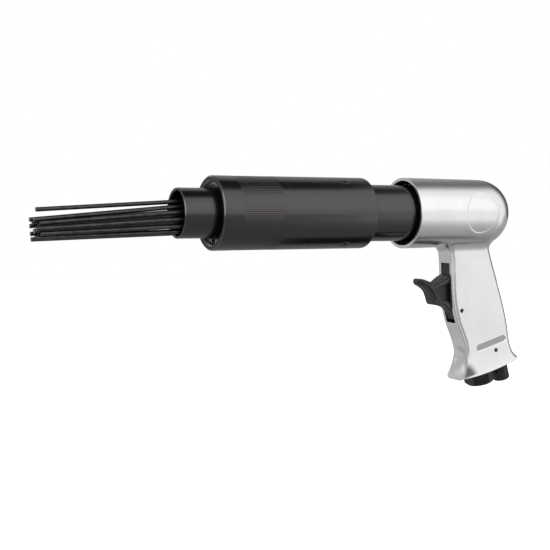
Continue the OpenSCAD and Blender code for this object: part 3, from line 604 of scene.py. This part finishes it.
def coil(name, r, wire, length, turns, start, axis):
    """Wound spring whose end turns lie flat."""
    steps = int(turns * TURN_STEPS)
    t = np.linspace(0, turns, steps + 1)
    rise = np.clip((t - 1) / (turns - 2), 0, 1)
    rise = ease(rise) * COIL_EASE + rise * (1 - COIL_EASE)
    lift = np.minimum(t, 1) + np.maximum(t - turns + 1, 0)
    z = wire / 2 + lift * wire + rise * (length - 3 * wire)
    a = 2 * math.pi * t
    b = angles(WIRE_SIDES)
    out = r + wire / 2 * np.cos(b)[None, :]
    up = z[:, None] + wire / 2 * np.sin(b)[None, :]
    points = np.stack([out * np.cos(a)[:, None], out * np.sin(a)[:, None], up], 2)
    return grid_mesh(name, place_along(points, start, axis), False)


def turned(profile, sides):
    """Points of a profile of radius and height, turned about Z."""
    r, z = np.asarray(profile, float).T
    a = angles(sides)[:, None]
    return np.stack([r * np.cos(a), r * np.sin(a), z + 0 * a], 2)


def ring(name, profile, start, axis):
    """Turned ring from a closed profile of radius and height."""
    return grid_mesh(name, place_along(turned(profile, RING_SIDES), start, axis), True)


def round_corners(points, radii, steps):
    """Closed outline with its corners rounded."""
    points = np.asarray(points, float)
    rounded = []
    for before, corner, after, r in zip(np.roll(points, 1, 0), points, np.roll(points, -1, 0), radii):
        a, b = before - corner, after - corner
        reach = min(r, np.linalg.norm(a) / 3, np.linalg.norm(b) / 3)
        start = corner + a * reach / np.linalg.norm(a)
        end = corner + b * reach / np.linalg.norm(b)
        for t in np.linspace(0, 1, steps):
            rounded.append(start * (1 - t) ** 2 + corner * 2 * t * (1 - t) + end * t * t)
    return np.array(rounded)


def sleeve_points():
    """Grid of the sleeve's points: its profile turned about X, with straight ridges in the knurled band."""
    groove_x, groove_x1, groove_r = RING_GROOVE
    knurl_x1 = KNURL_X + KNURL_LEN
    corners = [
        (0, SLEEVE_BORE_R + SLEEVE_CHAMFER), (0, SLEEVE_R - SLEEVE_CHAMFER), (SLEEVE_CHAMFER, SLEEVE_R),
        (SLEEVE_LEN, SLEEVE_R), (SLEEVE_LEN, NECK_BORE_R + SLEEVE_EDGE),
        (SLEEVE_LEN - SLEEVE_EDGE, NECK_BORE_R), (CYLINDER_X, NECK_BORE_R), (CYLINDER_X, SLEEVE_BORE_R),
        (groove_x1, SLEEVE_BORE_R), (groove_x1, groove_r), (groove_x, groove_r),
        (groove_x, SLEEVE_BORE_R), (SLEEVE_CHAMFER, SLEEVE_BORE_R),
    ]
    radii = [SLEEVE_REAR_R if corner == (SLEEVE_LEN, SLEEVE_R) else CORNER_R for corner in corners]
    profile = round_corners(corners, radii, CORNER_STEPS)
    last_front = 3 * CORNER_STEPS
    sunk_r = SLEEVE_R - KNURL_SUNK
    band = [
        (KNURL_X - KNURL_END, SLEEVE_R), (KNURL_X, SLEEVE_R), (KNURL_X + KNURL_END, sunk_r),
        (KNURL_X + 2 * KNURL_END, sunk_r), (knurl_x1 - 2 * KNURL_END, sunk_r),
        (knurl_x1 - KNURL_END, sunk_r), (knurl_x1, SLEEVE_R), (knurl_x1 + KNURL_END, SLEEVE_R),
    ]
    ahead = np.linspace(SLEEVE_CHAMFER + ROW_MARGIN, KNURL_X - KNURL_MARGIN, ROWS_AHEAD)
    behind = np.linspace(knurl_x1 + ROW_MARGIN, SCREW_X, ROWS_BEHIND)
    outside = [*((x, SLEEVE_R) for x in ahead), *band, *((x, SLEEVE_R) for x in behind)]
    profile = np.concatenate([profile[:last_front], outside, profile[last_front:]])
    a = angles(KNURL_RIDGES * RIDGE_STEPS)
    x, r = profile[:, 0], profile[:, 1]
    in_band = np.isclose(r, sunk_r) & (x > KNURL_X) & (x < knurl_x1)
    wave = KNURL_DEPTH * (1 - np.cos(KNURL_RIDGES * a)) / 2
    rho = r[None, :] - in_band[None, :] * wave[:, None]
    return np.stack([x + 0 * rho, rho * np.cos(a)[:, None], rho * np.sin(a)[:, None]], 2)


def bore_screw_holes(piece):
    """Cuts the set screws' holes, with a small sink at the surface, into the sleeve."""
    drill = [
        (SCREW_R, SLEEVE_BORE_R - DRILL_MARGIN), (SCREW_R, SLEEVE_R - SCREW_SINK),
        (SCREW_R + SCREW_SINK, SLEEVE_R), (SCREW_R + SCREW_SINK, SLEEVE_R + DRILL_MARGIN),
    ]
    bit = turned(drill, DRILL_SIDES).transpose(1, 0, 2)
    cutters = []
    for k in range(SCREW_COUNT):
        a = 2 * math.pi * (k / SCREW_COUNT - SCREW_TURN)
        out = (0, -math.sin(a), math.cos(a))
        cutter = grid_mesh("drill", place_along(bit, (SCREW_X, 0, 0), out), False)
        cutters.append(cutter)
        made = piece.modifiers.new("hole", "BOOLEAN")
        made.object = cutter
        made.solver = "EXACT"
    bpy.context.view_layer.update()
    holed = bpy.data.meshes.new_from_object(piece.evaluated_get(bpy.context.evaluated_depsgraph_get()))
    piece.modifiers.clear()
    piece.data = holed
    for cutter in cutters:
        bpy.data.objects.remove(cutter)


def make_sleeve():
    """The sleeve with its knurled band and screw holes."""
    piece = grid_mesh("sleeve_knurled", sleeve_points(), True)
    bore_screw_holes(piece)
    piece.data.set_sharp_from_angle(angle=SHARP_ANGLE)
    finish_piece(piece, "handle", "sleeve", "black_steel")


def washer(r0, r1, length, edge):
    """Profile of a ring with rounded edges."""
    corners = (
        (r1 - edge, length - edge), (r0 + edge, length - edge), (r0 + edge, edge), (r1 - edge, edge),
    )
    points = []
    for k, (cr, cz) in enumerate(corners):
        for a in np.linspace(k * math.pi / 2, (k + 1) * math.pi / 2, RING_EDGE_STEPS):
            points.append((cr + edge * math.cos(a), cz + edge * math.sin(a)))
    return points


def make_return_spring():
    """Round the nose tube."""
    lo, hi = in_mm(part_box("return_spring"))
    r = (hi[1] - lo[1] - SPRING_WIRE) / 2
    length = hi[0] - lo[0]
    spring = coil("return_coil", r, SPRING_WIRE, length, SPRING_TURNS, (lo[0], 0, 0), (1, 0, 0))
    finish_piece(spring, "handle", "return_spring", "spring_steel")
    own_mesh(spring)


def make_throttle_spring():
    """Behind the throttle's stem."""
    r, wire, length = THROTTLE_SPRING_R, THROTTLE_WIRE, THROTTLE_SPRING_LEN
    start = grip_place(THROTTLE_SPRING_V, THROTTLE_U)
    spring = coil("throttle_coil", r, wire, length, THROTTLE_TURNS, start, GRIP_BACK)
    finish_piece(spring, "handle", "throttle_spring", "spring_steel")
    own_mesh(spring)


def make_buffer_ring():
    """Rubber ring between nose and cylinder."""
    lo, hi = in_mm(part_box("buffer_ring"))
    profile = washer(BUFFER_BORE_R, hi[1], hi[0] - lo[0], BUFFER_EDGE_R)
    piece = ring("buffer_rubber", profile, (lo[0], 0, 0), (1, 0, 0))
    finish_piece(piece, "handle", "buffer_ring", "rubber")


def make_inlet_seal():
    """Washer between the foot and the air inlet."""
    profile = washer(INLET_R, INLET_SEAL_R, INLET_SEAL_T, INLET_SEAL_EDGE_R)
    piece = ring("inlet_washer", profile, grip_place(INLET_V, GRIP_LEN), GRIP_DOWN)
    finish_piece(piece, "handle", "inlet_seal", "rubber")


def make_regulator_seal():
    """O-ring round the regulator."""
    profile = washer(O_RING_R - O_RING_WIRE, O_RING_R, O_RING_WIRE, O_RING_WIRE / 2)
    place = grip_place(REGULATOR_V, GRIP_LEN - O_RING_UP - O_RING_WIRE / 2)
    piece = ring("regulator_o_ring", profile, place, GRIP_DOWN)
    finish_piece(piece, "regulator", "regulator_seal", "rubber")


def make_throttle_seal():
    """Rubber seat on the throttle's stem."""
    profile = washer(THROTTLE_STEM_R, THROTTLE_SEAL_R, THROTTLE_SEAL_T, THROTTLE_SEAL_EDGE_R)
    piece = ring("throttle_rubber", profile, grip_place(THROTTLE_SEAL_V, THROTTLE_U), GRIP_BACK)
    finish_piece(piece, "throttle", "throttle_seal", "rubber")


# Materials: colours are linear, and scales of noise are in features to the metre

# Marks of turning run round the barrel axis, so that noise is fine along X; drawn wire has marks along X.
TURNED = (5, 0.25, 0.25)
DRAWN = (0.04, 3, 3)
EVEN = (1, 1, 1)
CLOUD_DETAIL = 2.0
GRAIN_DETAIL = 3.0
GRAIN_DEPTH = 0.0001
NOISE_RANGE = (0.3, 0.7)
PLASTIC_IOR = 1.55
OIL_IOR = 1.52
OIL_TINT = (1.0, 0.93, 1.0, 1.0)
LABEL_GREY = (0.37, 0.365, 0.375)
# Painted shade for the foot's front corners
FOOT_PAINTED_SHADE = (0.14, 0.142, 0.15)
# Painted highlight for the trigger's ridges
RIDGE_HIGHLIGHT_GREY = (0.2, 0.2, 0.196)
CUT_STEEL = (0.35, 0.35, 0.36)

# Metals: darker and lighter tone, roughness and marks
METALS = {
    "dark_screw": ((0.16, 0.16, 0.165), (0.24, 0.24, 0.245), 0.35, EVEN),
    "spring_steel": ((0.22, 0.22, 0.23), (0.3, 0.3, 0.31), 0.3, EVEN),
    "dark_steel": ((0.1, 0.1, 0.105), (0.16, 0.16, 0.165), 0.4, TURNED),
    "valve_steel": ((0.5, 0.5, 0.51), (0.6, 0.6, 0.61), 0.26, TURNED),
    "brass": ((0.6, 0.42, 0.16), (0.72, 0.53, 0.23), 0.28, TURNED),
    "screen_wire": ((0.45, 0.45, 0.46), (0.58, 0.58, 0.59), 0.35, EVEN),
}

# Rubber and black finishes: darker and lighter tone, roughness and gloss
BLACKS = {
    "rubber": ((0.012, 0.012, 0.012), (0.02, 0.02, 0.02), 0.7, 0.4),
    "black_inlet": ((0.005, 0.005, 0.006), (0.009, 0.009, 0.01), 0.3, 0.42),
    "regulator_brass": ((0.012, 0.009, 0.01), (0.018, 0.013, 0.013), 0.34, 0.45),
    "flag_cloth": ((0.01, 0.01, 0.01), (0.015, 0.015, 0.015), 0.9, 0.0),
}


def map_range(tree, value, start, end, low, high):
    """Value from start to end turned into a number from low to high."""
    made = tree.nodes.new("ShaderNodeMapRange")
    for key, number in (("From Min", start), ("From Max", end), ("To Min", low), ("To Max", high)):
        made.inputs[key].default_value = number
    tree.links.new(value, made.inputs["Value"])
    return made.outputs["Result"]


def maths(tree, kind, a, b):
    """Result of two values, each a number or the output of a node."""
    made = tree.nodes.new("ShaderNodeMath")
    made.operation = kind
    for socket, value in zip(made.inputs, (a, b)):
        if isinstance(value, float):
            socket.default_value = value
        else:
            tree.links.new(value, socket)
    return made.outputs[0]


def vector_maths(tree, kind, a, b=None):
    """Node that works on a vector, alone or with fixed numbers."""
    made = tree.nodes.new("ShaderNodeVectorMath")
    made.operation = kind
    tree.links.new(a, made.inputs[0])
    if b:
        made.inputs[1].default_value = b
    return made


class Surface:
    """A node material with short ways to add its textures."""

    def __init__(self, name):
        self.material = bpy.data.materials.new(name)
        self.material.use_nodes = True
        self.tree = self.material.node_tree
        self.shader = self.tree.nodes["Principled BSDF"]
        coordinates = self.node("ShaderNodeTexCoord")
        self.place = coordinates.outputs["Object"]
        self.normal = coordinates.outputs["Normal"]

    def node(self, kind, **values):
        """New node with values on its sockets or its own settings."""
        made = self.tree.nodes.new(kind)
        for key, value in values.items():
            if key in made.inputs:
                made.inputs[key].default_value = value
            else:
                setattr(made, key, value)
        return made

    def link(self, a, b):
        """Joins an output to an input."""
        self.tree.links.new(a, b)

    def noise(self, scale, stretch=EVEN, detail=CLOUD_DETAIL):
        """Noise with features of 1 / scale metres, drawn out along an axis by stretch."""
        mapping = self.node("ShaderNodeMapping")
        mapping.inputs["Scale"].default_value = stretch
        self.link(self.place, mapping.inputs["Vector"])
        noise = self.node("ShaderNodeTexNoise", Scale=scale, Detail=detail)
        self.link(mapping.outputs["Vector"], noise.inputs["Vector"])
        return noise.outputs["Fac"]

    def ramp(self, value, low, high, span=NOISE_RANGE):
        """Value turned into a number between low and high."""
        return map_range(self.tree, value, *span, low, high)

    def mix(self, value, first, second):
        """Colour between two colours, each written out or the output of a node."""
        made = self.node("ShaderNodeMix", data_type="RGBA")
        for socket, colour in (("A", first), ("B", second)):
            if isinstance(colour, tuple):
                made.inputs[socket].default_value = (*colour, 1)
            else:
                self.link(colour, made.inputs[socket])
        self.link(value, made.inputs["Factor"])
        return made.outputs["Result"]

    def clouds(self, scale, dark, light):
        """Colour that drifts between two tones."""
        return self.mix(self.ramp(self.noise(scale), 0.0, 1.0), dark, light)

    def tone(self, name):
        """A value kept for each point of the mesh."""
        return self.node("ShaderNodeAttribute", attribute_name=name).outputs["Fac"]

    def facing_front(self):
        """The part along X of the direction in which the surface faces."""
        split = self.node("ShaderNodeSeparateXYZ")
        self.link(self.normal, split.inputs["Vector"])
        return split.outputs["X"]

    def colour(self, source):
        """Lets an output colour the surface."""
        self.link(source, self.shader.inputs["Base Color"])

    def grain(self, scale, lines, smooth, rough, strength):
        """Fine marks that change the gloss between two roughnesses and stand out a little."""
        fine = self.noise(scale, lines, GRAIN_DETAIL)
        self.link(self.ramp(fine, smooth, rough), self.shader.inputs["Roughness"])
        made = self.node("ShaderNodeBump", Strength=strength, Distance=GRAIN_DEPTH)
        self.link(fine, made.inputs["Height"])
        self.link(made.outputs["Normal"], self.shader.inputs["Normal"])

    def set(self, **values):
        """Constants on the shader's own sockets, with _ for a space."""
        for key, value in values.items():
            self.shader.inputs[key.replace("_", " ")].default_value = value


def metal(name, dark, light, rough, lines):
    """Bare or blackened metal: slight cloudiness, marks of the tool that made it, uneven gloss."""
    s = Surface(name)
    s.set(Metallic=1.0)
    s.colour(s.clouds(scale=90.0, dark=dark, light=light))
    s.grain(scale=900.0, lines=lines, smooth=rough - 0.04, rough=rough + 0.05, strength=0.05)
    return s.material


def black(name, dark, light, rough, gloss):
    """Satin black finish or moulding, with a gloss of its own."""
    s = Surface(name)
    s.set(Specular_IOR_Level=gloss, IOR=PLASTIC_IOR)
    s.colour(s.clouds(scale=140.0, dark=dark, light=light))
    s.grain(scale=900.0, lines=EVEN, smooth=rough - 0.05, rough=rough + 0.06, strength=0.08)
    return s.material


def black_steel():
    """Blackened and oiled turned steel, duller on the faces at its ends."""
    s = Surface("black_steel")
    s.set(IOR=OIL_IOR, Specular_Tint=OIL_TINT)
    s.colour(s.clouds(scale=140.0, dark=(0.003, 0.003, 0.003), light=(0.006, 0.006, 0.0055)))
    gloss = s.ramp(s.facing_front(), low=0.2, high=1.0, span=(-0.97, -0.85))
    s.link(gloss, s.shader.inputs["Specular IOR Level"])
    s.grain(scale=900.0, lines=TURNED, smooth=0.15, rough=0.26, strength=0.08)
    return s.material


def cast_aluminium():
    """Tumbled casting: soft swells, fine peened grain, cloudy gloss, greyer label slot, painted shade in the
    foot corners.
    """
    s = Surface("cast_aluminium")
    s.set(Metallic=1.0)
    skin = s.clouds(scale=60.0, dark=(0.785, 0.773, 0.79), light=(0.845, 0.833, 0.845))
    skin = s.mix(s.tone("label_slot"), skin, LABEL_GREY)
    s.colour(s.mix(s.tone("foot_painted_shade"), skin, FOOT_PAINTED_SHADE))
    s.grain(scale=1400.0, lines=EVEN, smooth=0.19, rough=0.27, strength=0.05)
    return s.material


def trigger_plastic():
    """Dull moulding, with painted highlights along the ridges of its arms."""
    s = Surface("trigger_plastic")
    s.set(Specular_IOR_Level=0.5, IOR=PLASTIC_IOR)
    skin = s.clouds(scale=140.0, dark=(0.012, 0.012, 0.012), light=(0.018, 0.017, 0.017))
    # painted highlight on the ridges, broken up by noise
    patchy = s.ramp(s.noise(scale=420.0), low=0.3, high=1.0)
    painted_highlight = maths(s.tree, "MULTIPLY", s.tone("painted_ridge_highlight"), patchy)
    s.colour(s.mix(painted_highlight, skin, RIDGE_HIGHLIGHT_GREY))
    s.grain(scale=900.0, lines=EVEN, smooth=0.35, rough=0.46, strength=0.15)
    return s.material


def needle_steel():
    """Dark drawn wire, brighter where the ends are cut off."""
    s = Surface("needle_steel")
    s.set(Metallic=1.0)
    cut_end = s.ramp(s.facing_front(), low=1.0, high=0.0, span=(-0.97, -0.9))
    wire = s.clouds(scale=200.0, dark=(0.06, 0.06, 0.062), light=(0.105, 0.105, 0.108))
    s.colour(s.mix(cut_end, wire, CUT_STEEL))
    s.grain(scale=1500.0, lines=DRAWN, smooth=0.3, rough=0.42, strength=0.06)
    return s.material


MATERIALS = {
    "cast_aluminium": cast_aluminium(),
    "black_steel": black_steel(),
    "trigger_plastic": trigger_plastic(),
    "needle_steel": needle_steel(),
}
for slot, look in METALS.items():
    MATERIALS[slot] = metal(slot, *look)
for slot, look in BLACKS.items():
    MATERIALS[slot] = black(slot, *look)


def dress():
    """Gives every node the material of its slot."""
    slots = {row["node"]: row["material_slot"] for row in frame["record"]["subparts"]}
    for name, piece in nodes.items():
        piece.data.materials.clear()
        piece.data.materials.append(MATERIALS[slots[name]])


# Light, floor and camera, in metres

# Dark regions of the room: direction, squeeze of the axes, start and end of the edge, and level inside
CEILING = ((0.2, 0.13, 0.971), (1.0, 1.0, 1.0), 0.87, 0.94, 0.05)
DARK_CORNER = ((0.9, 0.43, 0.0), (1.0, 1.0, 0.35), 0.86, 0.97, 0.15)
FRONT_LEVEL = 1.0
BACK_LEVEL = 0.5
BACK_START = -0.2
BACK_END = 0.25
AMBIENT_LEVEL = 0.7
FLAG_BOX = ((0.27, -0.06), (0.56, 0.2))
FLAG_Z = -0.45
FLOOR_Z = -0.62
FLOOR_R = 9.0
FLOOR_SIDES = 64
WHITE_START = 0.55
WHITE_END = 1.1
WHITE_NEAR = 0.5
MIRROR_START = 0.55
MIRROR_END = 2.1
MIRROR_POWER = 1.3
MIRROR_FRONT = 0.7
MIRROR_BACK = 0.1
MIRROR_LEFT = 0.2
MIRROR_AXIS = (0.82, -0.57, 0.0)
MIRROR_EDGE = (0.89, 0.95)
MIRROR_LEFT_EDGE = (-0.7, -0.45)

# Lamps: place, width and height, watts
LAMP_TARGET = (0.06, 0.0, -0.03)
LAMPS = {
    "key": ((0.55, -1.1, 0.6), (1.4, 0.9), 0.75),
    "side": ((-1.2, -0.4, 0.5), (0.5, 1.3), 4.5),
    "rim": ((-0.2, 1.45, 0.6), (0.45, 0.7), 0.55),
}

CAMERA_PLACE = (-0.2917, -0.6779, 0.0)
CAMERA_YAW = math.radians(26.92)
CAMERA_PITCH = math.radians(3.438)
CAMERA_SENSOR = 36.0
CAMERA_CLIP = (0.05, 50)
FOCAL_PIXELS = 1030
PICTURE_PIXELS = 550


def make_world():
    """White background; in reflections a bright front, a dimmer back and dark regions; soft light."""
    world = bpy.data.worlds.new("studio")
    bpy.context.scene.world = world
    world.use_nodes = True
    tree = world.node_tree
    back = tree.nodes["Background"]
    back.inputs["Color"].default_value = (1, 1, 1, 1)
    path = tree.nodes.new("ShaderNodeLightPath")
    split = tree.nodes.new("ShaderNodeSeparateXYZ")
    direction = tree.nodes.new("ShaderNodeTexCoord").outputs["Generated"]
    tree.links.new(direction, split.inputs["Vector"])
    room = map_range(tree, split.outputs["Y"], BACK_START, BACK_END, FRONT_LEVEL, BACK_LEVEL)
    for axis, squeeze, start, end, level in (CEILING, DARK_CORNER):
        squeezed = vector_maths(tree, "MULTIPLY", direction, squeeze).outputs["Vector"]
        way = vector_maths(tree, "NORMALIZE", squeezed).outputs["Vector"]
        toward = vector_maths(tree, "DOT_PRODUCT", way, axis).outputs["Value"]
        room = maths(tree, "MULTIPLY", room, map_range(tree, toward, start, end, 1.0, level))
    seen = maths(tree, "MAXIMUM", path.outputs["Is Glossy Ray"], path.outputs["Is Transmission Ray"])
    mirrored = maths(tree, "MULTIPLY", seen, room)
    lit = map_range(tree, path.outputs["Is Diffuse Ray"], 0.0, 1.0, 0.0, AMBIENT_LEVEL)
    light = maths(tree, "MAXIMUM", mirrored, lit)
    total = maths(tree, "MAXIMUM", light, path.outputs["Is Camera Ray"])
    tree.links.new(total, back.inputs["Strength"])


def make_floor():
    """Pale round floor that turns white away from the object."""
    rim = [(FLOOR_R * math.cos(a), FLOOR_R * math.sin(a), FLOOR_Z) for a in angles(FLOOR_SIDES)]
    floor = new_piece("floor", rim, [tuple(range(FLOOR_SIDES))])
    s = Surface("floor_white")
    s.set(Roughness=0.9, Specular_IOR_Level=0.0, Emission_Color=(1, 1, 1, 1))
    s.colour(s.clouds(scale=3.0, dark=(0.41, 0.41, 0.415), light=(0.43, 0.43, 0.435)))
    flat = vector_maths(s.tree, "MULTIPLY", s.place, (1, 1, 0)).outputs["Vector"]
    far = vector_maths(s.tree, "LENGTH", flat).outputs["Value"]
    path = s.node("ShaderNodeLightPath")
    white = map_range(s.tree, far, WHITE_START, WHITE_END, WHITE_NEAR, 1.0)
    seen = maths(s.tree, "MULTIPLY", path.outputs["Is Camera Ray"], white)
    either = maths(s.tree, "MAXIMUM", path.outputs["Is Glossy Ray"], path.outputs["Is Transmission Ray"])
    way = vector_maths(s.tree, "NORMALIZE", flat).outputs["Vector"]
    toward = vector_maths(s.tree, "DOT_PRODUCT", way, MIRROR_AXIS).outputs["Value"]
    level = map_range(s.tree, toward, *MIRROR_EDGE, MIRROR_BACK, MIRROR_FRONT)
    rise = map_range(s.tree, far, MIRROR_START, MIRROR_END, 0.0, 1.0)
    glow = maths(s.tree, "MULTIPLY", level, maths(s.tree, "POWER", rise, MIRROR_POWER))
    left = map_range(s.tree, toward, *MIRROR_LEFT_EDGE, MIRROR_LEFT, 0.0)
    glow = maths(s.tree, "MAXIMUM", glow, left)
    total = maths(s.tree, "MAXIMUM", seen, maths(s.tree, "MULTIPLY", either, glow))
    s.link(total, s.shader.inputs["Emission Strength"])
    floor.data.materials.append(s.material)


def make_flag():
    """Dark card under the tool, out of the camera's sight, for a dark edge along its underside."""
    (x0, y0), (x1, y1) = FLAG_BOX
    corners = [(x0, y0, FLAG_Z), (x1, y0, FLAG_Z), (x1, y1, FLAG_Z), (x0, y1, FLAG_Z)]
    flag = new_piece("flag", corners, [(0, 1, 2, 3)])
    flag.visible_camera = False
    flag.visible_shadow = False
    flag.visible_diffuse = False
    flag.data.materials.append(MATERIALS["flag_cloth"])


def aim(piece, way):
    """Turns a lamp or camera to look along a direction."""
    piece.rotation_mode = "QUATERNION"
    piece.rotation_quaternion = way.to_track_quat("-Z", "Y")


def lamp(name, place, size, watts):
    """Soft rectangular lamp, turned to the object."""
    data = bpy.data.lights.new(name, "AREA")
    data.shape = "RECTANGLE"
    data.size, data.size_y = size
    data.energy = watts
    made = bpy.data.objects.new(name, data)
    made.location = place
    aim(made, Vector(LAMP_TARGET) - Vector(place))
    bpy.context.scene.collection.objects.link(made)


def make_lights():
    """The key in front, a side lamp toward the needles and a rim lamp behind."""
    for name, (place, size, watts) in LAMPS.items():
        lamp(name, place, size, watts)


def make_camera():
    """At the photograph's viewing angle: 27 degrees round to the needles, looking slightly down."""
    data = bpy.data.cameras.new("camera")
    data.sensor_width = CAMERA_SENSOR
    data.lens = CAMERA_SENSOR * FOCAL_PIXELS / PICTURE_PIXELS
    data.clip_start, data.clip_end = CAMERA_CLIP
    camera = bpy.data.objects.new("camera", data)
    camera.location = CAMERA_PLACE
    level = math.cos(CAMERA_PITCH)
    ahead = (math.sin(CAMERA_YAW) * level, math.cos(CAMERA_YAW) * level, -math.sin(CAMERA_PITCH))
    aim(camera, Vector(ahead))
    bpy.context.scene.collection.objects.link(camera)
    bpy.context.scene.camera = camera


dress()
make_handle()
make_trigger()
make_sleeve()
make_return_spring()
make_throttle_spring()
make_buffer_ring()
make_inlet_seal()
make_regulator_seal()
make_throttle_seal()
make_world()
make_floor()
make_flag()
make_lights()
make_camera()
bpy.context.scene.view_settings.view_transform = "Standard"
